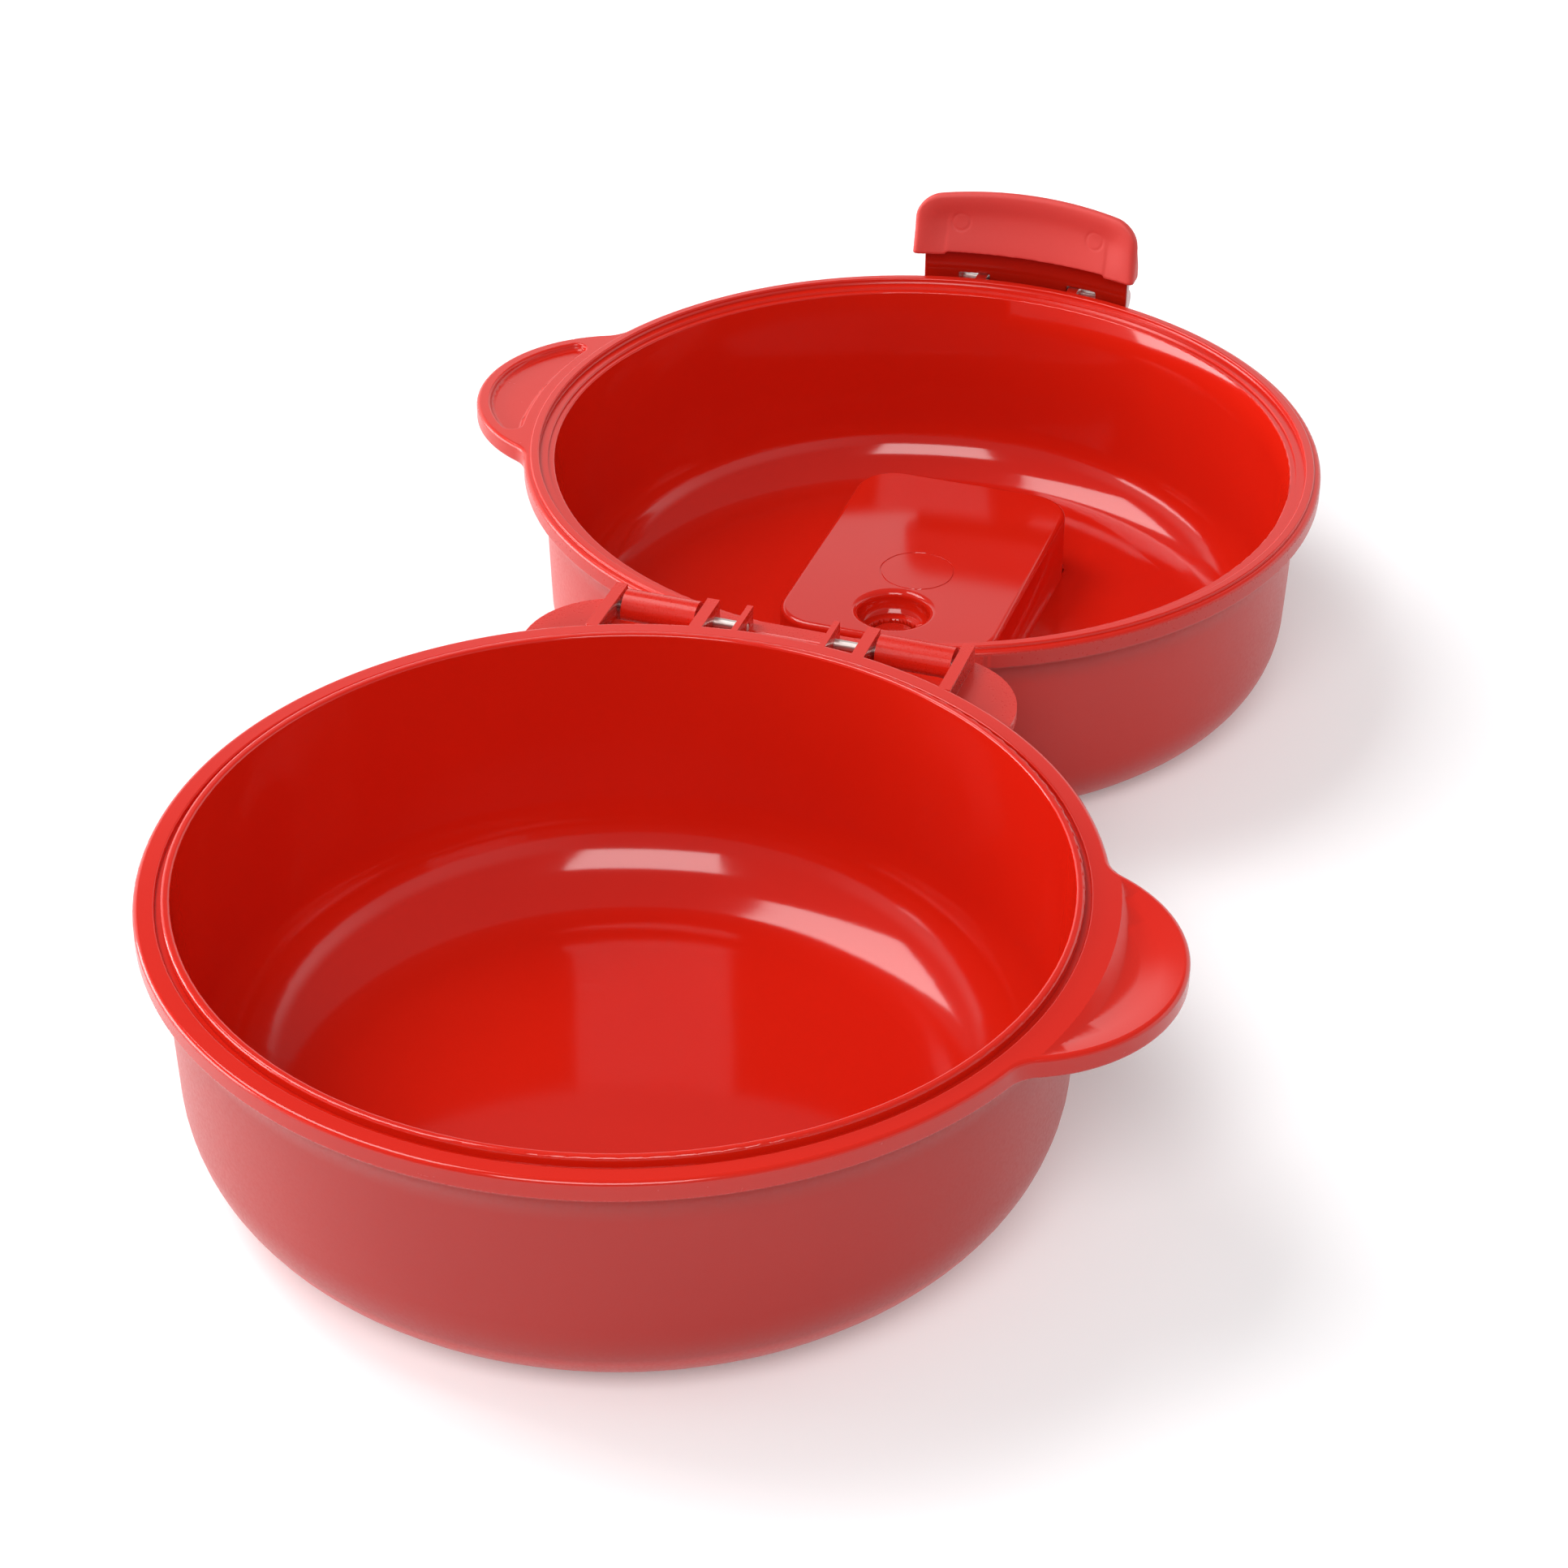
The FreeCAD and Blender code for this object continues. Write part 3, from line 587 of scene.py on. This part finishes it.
def evaluated(name, obj):
    """The object's mesh with its modifiers applied; the object itself is dropped."""
    graph = bpy.context.evaluated_depsgraph_get()
    mesh = bpy.data.meshes.new_from_object(obj.evaluated_get(graph), depsgraph=graph)
    mesh.name = name
    bpy.data.objects.remove(obj)
    return mesh


def helper(name, mesh):
    """New object in the scene that isn't a piece of the part."""
    obj = bpy.data.objects.new(name, mesh)
    bpy.context.scene.collection.objects.link(obj)
    return obj


def smoothstep(low, high, value):
    """0 up to low, 1 from high on, and a smooth rise between them."""
    share = min(1.0, max(0.0, (value - low) / (high - low)))
    return share * share * (3.0 - 2.0 * share)


def welded(name, node):
    """A CAD node's shape as one smooth skin."""
    built = bmesh.new()
    built.from_mesh(NODES[node].data)
    bmesh.ops.remove_doubles(built, verts=built.verts, dist=WELD)
    mesh = bpy.data.meshes.new(name)
    built.to_mesh(mesh)
    built.free()
    mesh.shade_smooth()
    mesh.set_sharp_from_angle(angle=MOULD_CREASE)
    return mesh


class Bead:
    """Rounded outer edge of a round flange: its axis, radius, lowest and highest level and rounding."""

    # How far a face of the bead may turn along the rim, and how near the section its corners lie
    across = 0.9
    near = 0.02 * MM

    def __init__(self, centre, radius, low, high, soft):
        self.centre = centre
        self.radius = radius
        self.low = low
        self.high = high
        self.soft = soft

    def normal(self, place):
        """Way that the exact section faces next to a place."""
        out = Vector((place.x - self.centre.x, place.y - self.centre.y, 0.0))
        level = min(max(place.z, self.low + self.soft), self.high - self.soft)
        bulge = max(0.0, out.length - self.radius + self.soft)
        return (out.normalized() * bulge + Vector((0.0, 0.0, place.z - level))).normalized()

    def settled(self, place):
        """The point of the exact section next to a place."""
        out = Vector((place.x - self.centre.x, place.y - self.centre.y, 0.0))
        level = min(max(place.z, self.low + self.soft), self.high - self.soft)
        core = out.normalized() * (self.radius - self.soft)
        return Vector((self.centre.x, self.centre.y, level)) + core + self.normal(place) * self.soft

    def holds(self, face):
        """Whether a face has all its corners on the section, and isn't flat or a cut across the bead."""
        if abs(face.normal.z) > LEVEL:
            return False
        place = face.verts[0].co
        tangent = Vector((self.centre.y - place.y, place.x - self.centre.x, 0.0)).normalized()
        if abs(face.normal.dot(tangent)) > self.across:
            return False
        return all((self.settled(point.co) - point.co).length < self.near for point in face.verts)


def drop_doubled(built):
    """Delete each pair of faces that lie back to back on the same corners."""
    known = {}
    doubled = set()
    for face in built.faces:
        twin = known.setdefault(frozenset(face.verts), face)
        if twin is not face:
            doubled.update((face, twin))
    bmesh.ops.delete(built, geom=list(doubled), context="FACES")


def cut_to_triangles(built):
    """Cut each face of more than three corners into triangles."""
    bmesh.ops.triangulate(built, faces=[face for face in built.faces if len(face.verts) > 3])


def true_edges(mesh, beads):
    """Divide the rounded edges finely, settle them on their exact section and set their normals.

    A face's material index holds the order of its bead while this works, and is 0 again afterwards.
    """
    longest = 0.6 * MM
    rounds = 3
    built = bmesh.new()
    built.from_mesh(mesh)
    for face in built.faces:
        face.material_index = next((order for order, bead in enumerate(beads, 1) if bead.holds(face)), 0)
    for _ in range(rounds):
        long = set()
        for face in built.faces:
            if face.material_index:
                long.update(edge for edge in face.edges if edge.calc_length() > longest)
        bmesh.ops.subdivide_edges(built, edges=list(long), cuts=1)
        cut_to_triangles(built)
        for order, bead in enumerate(beads, 1):
            rounded = [face for face in built.faces if face.material_index == order]
            for point in {point for face in rounded for point in face.verts}:
                point.co = bead.settled(point.co)
    bmesh.ops.dissolve_degenerate(built, dist=WELD, edges=built.edges)
    cut_to_triangles(built)
    drop_doubled(built)
    built.to_mesh(mesh)
    built.free()
    normals = [corner.vector.copy() for corner in mesh.corner_normals]
    for face in mesh.polygons:
        for corner, index in zip(face.loop_indices, face.vertices):
            if face.material_index:
                normals[corner] = beads[face.material_index - 1].normal(mesh.vertices[index].co)
            elif abs(face.normal.z) > LEVEL:
                normals[corner] = Vector((0.0, 0.0, math.copysign(1.0, face.normal.z)))
        face.material_index = 0
    mesh.normals_split_custom_set(normals)


def store_polish_and_painted_light(mesh, choose):
    """Store the polish and the painted light of each point of a skin, chosen from its place and the way
    it faces.
    """
    values = [choose(point.co, point.normal) for point in mesh.vertices]
    for index, name in enumerate(("polish", "painted_light")):
        layer = mesh.attributes.new(name, "FLOAT", "POINT")
        layer.data.foreach_set("value", [value[index] for value in values])


# Pieces


class EGG_OT_bowls(bpy.types.Operator):
    """Make the base bowl and the lid bowl"""

    bl_idname = "egg_cooker.bowls"
    bl_label = "Bowls"

    def execute(self, context):
        finish = context.scene.egg_plastic
        shape = context.scene.egg_bowl
        for bowl in BOWLS:
            name = bowl.node + "_shell"
            mesh = welded(name, bowl.node)
            height = self.rim_height(bowl, shape)
            section = (height - shape.flange, height, shape.edge)
            ear_x = bowl.side * (shape.rim - shape.ear_inset)
            beads = (
                Bead(Vector((0.0, bowl.centre)), shape.rim, *section),
                Bead(Vector((ear_x, bowl.centre)), shape.ear, *section),
            )
            true_edges(mesh, beads)
            look = (shape, bowl, height, ear_x)
            store_polish_and_painted_light(mesh, lambda place, facing: self.finish(place, facing, *look))
            piece = new_piece(name, mesh, bowl.body, bowl.node)
            wear(piece, moulded_plastic(name + "_red", finish, finish.satin))
        return {"FINISHED"}

    @staticmethod
    def rim_height(bowl, shape):
        """Height of the rim's flat top, found from the ear, which is flush with it."""
        past = shape.rim + shape.flange
        places = [point.co for point in NODES[bowl.node].data.vertices]
        return max(place.z for place in places if abs(place.x) > past)

    @staticmethod
    def finish(place, facing, shape, bowl, height, ear_x):
        """Polish and painted light of a bowl at a place.

        Both are 1 inside the bowl. The rim's top is as polished as the bowl says, and fades down its
        rounded edge to the outer wall, which is satin and darkened by painted shade.
        """
        corner_start = shape.rim * 0.7
        foot_level = 0.38 * MM
        near_level = 0.05 * MM
        ear_start = shape.rim + 0.2 * MM
        # The rim's side band keeps this share of the polish and of the painted light, so it is darkened
        # by painted shade
        edge_dim = 0.45
        crest_end = height - 0.2 * shape.edge
        along = place.y - bowl.centre
        reach = math.hypot(place.x, along)
        wall = shape.inside - (height - place.z) * shape.slope
        outward = (facing.x * place.x + facing.y * along) / max(reach, MM)
        # The outer bottom corner is satin and partly darkened by painted shade
        if corner_start < reach < wall and outward > facing.z:
            return CORNER_POLISH_AND_PAINTED_LIGHT
        if reach < wall and place.z > foot_level:
            return INSIDE_POLISH_AND_PAINTED_LIGHT
        at_hinge = along * bowl.side > shape.rim - shape.flange * 2 and abs(place.x) < shape.hinge_half
        if at_hinge and reach > shape.rim:
            return HINGE_POLISH_AND_PAINTED_LIGHT
        underside = height - shape.flange
        # The flange's underside is satin, darkened by the outer wall's painted shade
        if place.z < underside + near_level:
            return 0.0, bowl.outer_painted_light
        polish = bowl.ear_polish if reach > ear_start else bowl.rim_polish
        core = shape.edge + near_level
        on_ear = math.hypot(place.x - ear_x, along) < shape.ear - core
        if on_ear or reach < shape.rim - core:
            return polish, 1.0
        foot = smoothstep(underside, underside + shape.edge, place.z)
        crest = smoothstep(height - shape.edge, crest_end, place.z)
        # Up the rounded edge the polish and the painted light rise to the crest; at the foot they fall
        # to the outer wall's painted shade
        upward = edge_dim + (1.0 - edge_dim) * crest
        return polish * upward * foot, bowl.outer_painted_light + (upward - bowl.outer_painted_light) * foot


class EGG_OT_clip(bpy.types.Operator):
    """Make the finger clip as one soft moulding"""

    bl_idname = "egg_cooker.clip"
    bl_label = "Latch clip"

    def execute(self, context):
        shape = context.scene.egg_clip
        finish = context.scene.egg_plastic
        built = bmesh.new()
        self.paddle(built, shape)
        self.neck(built, shape)
        self.knuckles(built, shape)
        bmesh.ops.recalc_face_normals(built, faces=built.faces)
        mesh = bpy.data.meshes.new("clip_parts")
        built.to_mesh(mesh)
        built.free()
        obj = helper("clip_parts", mesh)
        join = obj.modifiers.new("join", "REMESH")
        join.mode = "VOXEL"
        join.voxel_size = shape.voxel
        soft = obj.modifiers.new("soft", "SMOOTH")
        soft.factor = 0.5
        soft.iterations = 6
        name = "latch_clip_shell"
        mesh = evaluated(name, obj)
        self.press_marks(mesh, shape)
        mesh.transform(Matrix.Translation((0.0, LID_Y, 0.0)))
        mesh.shade_smooth()
        store_polish_and_painted_light(mesh, lambda place, facing: self.finish(place, shape))
        piece = new_piece(name, mesh, "latch", "latch_clip")
        wear(piece, moulded_plastic("latch_clip_red", finish, finish.matt, finish.painted_sheen))
        return {"FINISHED"}

    @staticmethod
    def finish(place, shape):
        """Matt on the finger face, and polished on the neck under the ledge, which is darkened there by
        painted shade.
        """
        fade_start = shape.ledge - 0.3 * MM
        fade_end = shape.ledge + 0.6 * MM
        face = smoothstep(fade_start, fade_end, place.z)
        # The neck under the ledge gets no painted light: painted shade under the overhang
        return 1.0 - face, face

    @staticmethod
    def skinned(built, rings):
        """Closed shell over rings of points that all have the same count."""
        count = len(rings[0])
        for first, second in zip(rings, rings[1:]):
            for step in range(count):
                after = (step + 1) % count
                built.faces.new((first[step], first[after], second[after], second[step]))
        built.faces.new(rings[0])
        built.faces.new(rings[-1][::-1])

    def swept(self, built, sections):
        """Shell through sections, each an X and a loop of radius and height about the lid's axis."""
        rings = []
        for across, loop in sections:
            ring = []
            for radius, height in loop:
                along = math.sqrt(radius * radius - across * across)
                ring.append(built.verts.new((across, along, height)))
            rings.append(ring)
        self.skinned(built, rings)

    def paddle(self, built, shape):
        """Finger paddle, with sections close together at its ends and at the ledge's two steps."""
        count = 72
        step_run = 0.1 * MM
        places = []
        for step in range(count + 1):
            places.append(-shape.half * math.cos(math.pi * step / count))
        for edge in (shape.step_half - step_run, shape.step_half + step_run):
            places += [edge, -edge]
        self.swept(built, [(across, self.paddle_loop(across, shape)) for across in sorted(places)])

    @staticmethod
    def paddle_loop(across, shape):
        """The paddle's section at one place: dished face, rounded top and tapered back."""
        side = abs(across)
        top = shape.top - shape.crown * (side / shape.half) ** 2
        over = side - (shape.half - shape.corner)
        if over > 0:
            top -= shape.corner - math.sqrt(max(0.0, shape.corner**2 - over**2))
        inset = 0.0
        over = side - (shape.half - shape.end)
        if over > 0:
            inset = shape.end - math.sqrt(max(0.0, shape.end**2 - over**2))
        low = shape.ledge + (shape.step if side < shape.step_half else 0.0)
        shallow = 0.85
        dish_start = -0.1
        dish_floor = 0.6
        taper_start = 0.2
        fade_start = shape.half - 5.0 * MM
        fade_end = shape.half - 1.0 * MM
        fade = 1.0 - shallow * smoothstep(fade_start, fade_end, side)
        rows = 22
        front = []
        back = []
        for row in range(rows + 1):
            share = row / rows
            hollow = smoothstep(dish_start, dish_floor, share)
            hollow *= 1.0 - shallow * smoothstep(dish_floor, 1.0, share)
            front.append((share, shape.tip + shape.slant * share + shape.dish * fade * hollow + inset))
            back.append((share, shape.back - shape.taper * smoothstep(taper_start, 1.0, share) - inset))
        round_top = (back[-1][1] - front[-1][1]) / 2
        middle = (back[-1][1] + front[-1][1]) / 2
        tall = top - low - round_top
        loop = [(radius, low + share * tall) for share, radius in front]
        turns = 10
        for step in range(1, turns):
            turn = math.pi * step / turns
            loop.append((middle - round_top * math.cos(turn), low + tall + round_top * math.sin(turn)))
        loop += [(radius, low + share * tall) for share, radius in reversed(back)]
        return loop

    def neck(self, built, shape):
        """Curved slab from the knuckles up into the paddle, cut away over the pins."""
        top = shape.ledge + shape.step * 3
        cuts = 6
        places = []
        for start, end in (
            (0.0, shape.window_in - WELD),
            (shape.window_in, shape.window_out),
            (shape.window_out + WELD, shape.neck_half),
        ):
            places += [start + (end - start) * step / cuts for step in range(cuts + 1)]
        sections = []
        for across in sorted({side * place for place in places for side in (-1.0, 1.0)}):
            open_below = shape.window_in <= abs(across) <= shape.window_out
            low = LATCH_PIVOT.z + (shape.window_rise if open_below else 0.0)
            loop = [(shape.neck, low), (shape.neck, top), (shape.back, top), (shape.back, low)]
            sections.append((across, loop))
        self.swept(built, sections)

    def knuckles(self, built, shape):
        """Round knuckles on the pin's axis: one in the middle and a barred one at each side."""
        axis_y = LATCH_PIVOT.y - LID_Y
        axis_z = LATCH_PIVOT.z
        ring_turns = 40
        nose_turns = 20

        def round_pin(turn):
            return axis_y + shape.knuckle * math.cos(turn), axis_z + shape.knuckle * math.sin(turn)

        ring = [round_pin(2 * math.pi * step / ring_turns) for step in range(ring_turns)]
        nose = [round_pin(math.pi * step / nose_turns - math.pi / 2) for step in range(nose_turns + 1)]
        root = shape.neck - 0.7 * MM
        bar = [(root, axis_z - shape.knuckle)] + nose + [(root, axis_z + shape.knuckle)]
        for outline, start, end in (
            (ring, -shape.window_in, shape.window_in),
            (bar, shape.window_out, shape.knuckle_end),
            (bar, -shape.knuckle_end, -shape.window_out),
        ):
            ends = []
            for across in (start, end):
                ends.append([built.verts.new((across, along, height)) for along, height in outline])
            self.skinned(built, ends)

    @staticmethod
    def press_marks(mesh, shape):
        """Sink the two faint rings that the ejectors leave in the finger dish."""
        level = (shape.ledge + shape.top) / 2
        width = 0.35 * MM
        depth = 0.06 * MM
        facing = -0.5
        for point in mesh.vertices:
            reach = math.hypot(point.co.x, point.co.y)
            if point.normal.y > facing or reach > shape.neck + shape.dish:
                continue
            for side in (-1.0, 1.0):
                off = math.hypot(point.co.x - side * shape.mark_at, point.co.z - level)
                ring = abs(off - shape.mark)
                if ring < width:
                    sink = depth * (1.0 - smoothstep(0.0, width, ring))
                    point.co.x += point.co.x / reach * sink
                    point.co.y += point.co.y / reach * sink


class EGG_OT_flap(bpy.types.Operator):
    """Make the vent flap"""

    bl_idname = "egg_cooker.flap"
    bl_label = "Vent flap"

    def execute(self, context):
        finish = context.scene.egg_plastic
        mesh = welded("vent_flap_shell", "vent_flap")
        # The flap is satin-polished and half darkened by painted shade
        store_polish_and_painted_light(mesh, lambda place, facing: FLAP_POLISH_AND_PAINTED_LIGHT)
        piece = new_piece("vent_flap_shell", mesh, "flap", "vent_flap")
        wear(piece, moulded_plastic("vent_flap_red", finish, finish.satin))
        return {"FINISHED"}


class EGG_OT_pins(bpy.types.Operator):
    """Draw the four steel pins with chamfered ends"""

    bl_idname = "egg_cooker.pins"
    bl_label = "Steel pins"

    def execute(self, context):
        finish = context.scene.egg_pins
        steel = drawn_steel("pin_wire", finish)
        tree = self.wire_tree()
        for node, body in (
            ("hinge_pin_left", "base"),
            ("hinge_pin_right", "base"),
            ("latch_pin_left", "lid"),
            ("latch_pin_right", "lid"),
        ):
            low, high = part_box(node)
            middle = (low + high) / 2
            values = {
                "Start": (low.x, middle.y, middle.z),
                "Length": high.x - low.x,
                "Radius": (high.z - low.z) / 2,
                "Chamfer": finish.chamfer,
                "Sides": finish.sides,
                "Material": steel,
            }
            name = node + "_wire"
            obj = helper(name, bpy.data.meshes.new(name))
            draw = obj.modifiers.new("draw", "NODES")
            draw.node_group = tree
            for item in tree.interface.items_tree:
                if item.in_out == "INPUT" and item.name in values:
                    draw[item.identifier] = values[item.name]
            mesh = evaluated(name, obj)
            mesh.set_sharp_from_angle(angle=WIRE_CREASE)
            new_piece(name, mesh, body, node)
        return {"FINISHED"}

    @staticmethod
    def wire_tree():
        """Round wire along X from a start point, narrowed at both cut ends."""
        tree = bpy.data.node_groups.new("drawn_pin", "GeometryNodeTree")
        for name, kind in (
            ("Start", "NodeSocketVector"),
            ("Length", "NodeSocketFloat"),
            ("Radius", "NodeSocketFloat"),
            ("Chamfer", "NodeSocketFloat"),
            ("Sides", "NodeSocketInt"),
            ("Material", "NodeSocketMaterial"),
        ):
            tree.interface.new_socket(name, in_out="INPUT", socket_type=kind)
        tree.interface.new_socket("Geometry", in_out="OUTPUT", socket_type="NodeSocketGeometry")
        nodes = Nodes(tree)
        given = nodes.add("NodeGroupInput").outputs
        index = nodes.add("GeometryNodeInputIndex").outputs[0]
        past_first, past_second, past_third = (
            nodes.math("GREATER_THAN", index, point + 0.5) for point in range(3)
        )
        shank = nodes.math("SUBTRACT", given["Length"], nodes.math("MULTIPLY", given["Chamfer"], 2.0))
        ends = nodes.math("MULTIPLY", nodes.math("ADD", past_first, past_third), given["Chamfer"])
        along = nodes.math("ADD", ends, nodes.math("MULTIPLY", past_second, shank))
        shift = nodes.add("ShaderNodeCombineXYZ", {"X": along})
        place = nodes.add(
            "ShaderNodeVectorMath", {0: given["Start"], 1: shift.outputs[0]}, operation="ADD"
        )
        line = nodes.add("GeometryNodeMeshLine", {"Count": 4, "Offset": (1.0, 0.0, 0.0)})
        placed = nodes.add(
            "GeometryNodeSetPosition", {"Geometry": line.outputs[0], "Position": place.outputs[0]}
        )
        path = nodes.add("GeometryNodeMeshToCurve", {"Mesh": placed.outputs[0]})
        full = nodes.math("SUBTRACT", past_first, past_third)
        cut = nodes.math("SUBTRACT", 1.0, nodes.math("DIVIDE", given["Chamfer"], given["Radius"]))
        scale = nodes.math("MAXIMUM", full, cut)
        ring = nodes.add(
            "GeometryNodeCurvePrimitiveCircle", {"Resolution": given["Sides"], "Radius": given["Radius"]}
        )
        skin = nodes.add(
            "GeometryNodeCurveToMesh",
            {
                "Curve": path.outputs[0],
                "Profile Curve": ring.outputs[0],
                "Scale": scale,
                "Fill Caps": True,
            },
        )
        smooth = nodes.add("GeometryNodeSetShadeSmooth", {"Geometry": skin.outputs[0]})
        real = nodes.add("GeometryNodeRealizeInstances", {"Geometry": smooth.outputs[0]})
        clad = nodes.add(
            "GeometryNodeSetMaterial", {"Geometry": real.outputs[0], "Material": given["Material"]}
        )
        nodes.add("NodeGroupOutput", {"Geometry": clad.outputs[0]})
        return tree


class EGG_OT_stage(bpy.types.Operator):
    """Set the floor, lights and camera"""

    bl_idname = "egg_cooker.stage"
    bl_label = "Stage"

    def execute(self, context):
        stage = context.scene.egg_stage
        self.floor(stage)
        self.world(context)
        self.lights(context)
        self.camera(context, stage)
        context.scene.view_settings.view_transform = "Standard"
        return {"FINISHED"}

    @staticmethod
    def floor(stage):
        """White floor that keeps the object's shadow and looks brighter further out."""
        half = 3.0
        mesh = bpy.data.meshes.new("floor")
        corners = [(-half, -half, 0), (half, -half, 0), (half, half, 0), (-half, half, 0)]
        mesh.from_pydata(corners, [], [(0, 1, 2, 3)])
        floor = helper("floor", mesh)
        nodes = Nodes.material("floor_white")
        shown = nodes.add("ShaderNodeLightPath").outputs
        near = nodes.math("ADD", shown["Is Camera Ray"], shown["Is Glossy Ray"])
        seen = nodes.math("ADD", near, shown["Is Transmission Ray"], clamp=True)
        diffuse = nodes.add("ShaderNodeBsdfDiffuse", {"Color": (*stage.floor, 1.0)})
        place = nodes.add("ShaderNodeTexCoord").outputs["Object"]
        middle = (CAD_LOW + CAD_HIGH) / 2
        centre = (middle.x, middle.y, 0.0)
        away = nodes.add("ShaderNodeVectorMath", {0: place, 1: centre}, operation="DISTANCE")
        glow = nodes.ramp(away.outputs["Value"], low=0.15, high=0.4, to_low=0.19, to_high=0.5)
        strength = nodes.math("MULTIPLY", seen, glow)
        lift = nodes.add("ShaderNodeEmission", {"Color": WHITE, "Strength": strength})
        both = nodes.add("ShaderNodeAddShader", {0: diffuse.outputs[0], 1: lift.outputs[0]})
        wear(floor, nodes.finish(both.outputs[0]))

    @staticmethod
    def world(context):
        """White room, bright low down behind and at both sides, and dim overhead."""
        world = bpy.data.worlds.new("white_room")
        world.use_nodes = True
        nodes = Nodes(world.node_tree)
        toward = nodes.add("ShaderNodeTexCoord").outputs["Generated"]
        parts = nodes.add("ShaderNodeSeparateXYZ", {0: toward}).outputs
        behind = nodes.ramp(parts["Y"], low=0.0, high=0.5, to_low=0.3, to_high=1.15)
        left = nodes.ramp(parts["X"], low=-0.5, high=-0.95, to_low=0.0, to_high=0.7)
        right = nodes.ramp(parts["X"], low=0.4, high=0.9, to_low=0.0, to_high=0.4)
        walls = nodes.math("ADD", behind, nodes.math("ADD", left, right))
        fade = nodes.ramp(parts["Z"], low=0.46, high=0.59, to_low=walls, to_high=0.26)
        fade.node.interpolation_type = "SMOOTHSTEP"
        room = nodes.add("ShaderNodeBackground", {"Color": WHITE, "Strength": fade})
        nodes.add("ShaderNodeOutputWorld", {"Surface": room.outputs[0]})
        context.scene.world = world

    @staticmethod
    def lights(context):
        """Soft rectangular lamps that face the middle of the object."""
        middle = (CAD_LOW + CAD_HIGH) / 2
        for name, place, size, power in (
            ("key_left", (-0.5, 0.1, 0.85), (0.5, 0.5), 5.1),
            ("front_top", (0.15, -0.65, 0.75), (0.6, 0.4), 5.2),
            ("low_left", (-0.8, -0.05, 0.17), (0.7, 0.33), 5.2),
        ):
            lamp = bpy.data.lights.new(name, "AREA")
            lamp.shape = "RECTANGLE"
            lamp.size, lamp.size_y = size
            lamp.energy = power
            light = bpy.data.objects.new(name, lamp)
            light.location = Vector(place)
            light.rotation_mode = "QUATERNION"
            light.rotation_quaternion = (middle - light.location).to_track_quat("-Z", "Y")
            context.scene.collection.objects.link(light)

    @staticmethod
    def camera(context, stage):
        """Camera at the photo's viewing angle."""
        lens = bpy.data.cameras.new("camera")
        lens.lens = stage.lens
        lens.sensor_width = 36.0
        lens.clip_start = 0.01
        camera = bpy.data.objects.new("camera", lens)
        flat = math.cos(stage.elevation)
        rise = math.sin(stage.elevation)
        back = Vector((math.sin(stage.azimuth) * flat, -math.cos(stage.azimuth) * flat, rise))
        camera.location = Vector(stage.target) + back * stage.distance
        camera.rotation_mode = "QUATERNION"
        roll = Quaternion((0.0, 0.0, 1.0), stage.roll)
        camera.rotation_quaternion = (-back).to_track_quat("-Z", "Y") @ roll
        context.scene.collection.objects.link(camera)
        context.scene.camera = camera


class EGG_PT_panel(bpy.types.Panel):
    """Lists the steps that build the egg cooker's looks"""

    bl_idname = "EGG_PT_panel"
    bl_label = "Egg cooker"
    bl_space_type = "VIEW_3D"
    bl_region_type = "UI"
    bl_category = "Egg cooker"

    def draw(self, context):
        for step in STEPS:
            self.layout.operator(step.bl_idname)


GROUPS = (
    ("egg_plastic", PlasticFinish),
    ("egg_bowl", BowlShape),
    ("egg_clip", ClipShape),
    ("egg_pins", PinFinish),
    ("egg_stage", StageSettings),
)
STEPS = (EGG_OT_bowls, EGG_OT_clip, EGG_OT_flap, EGG_OT_pins, EGG_OT_stage)


def register():
    for name, group in GROUPS:
        bpy.utils.register_class(group)
        setattr(bpy.types.Scene, name, PointerProperty(type=group))
    for step in STEPS:
        bpy.utils.register_class(step)
    bpy.utils.register_class(EGG_PT_panel)


def unregister():
    bpy.utils.unregister_class(EGG_PT_panel)
    for step in reversed(STEPS):
        bpy.utils.unregister_class(step)
    for name, group in reversed(GROUPS):
        delattr(bpy.types.Scene, name)
        bpy.utils.unregister_class(group)


def main():
    register()
    bpy.ops.egg_cooker.bowls()
    bpy.ops.egg_cooker.clip()
    bpy.ops.egg_cooker.flap()
    bpy.ops.egg_cooker.pins()
    bpy.ops.egg_cooker.stage()


if __name__ == "__main__":
    main()
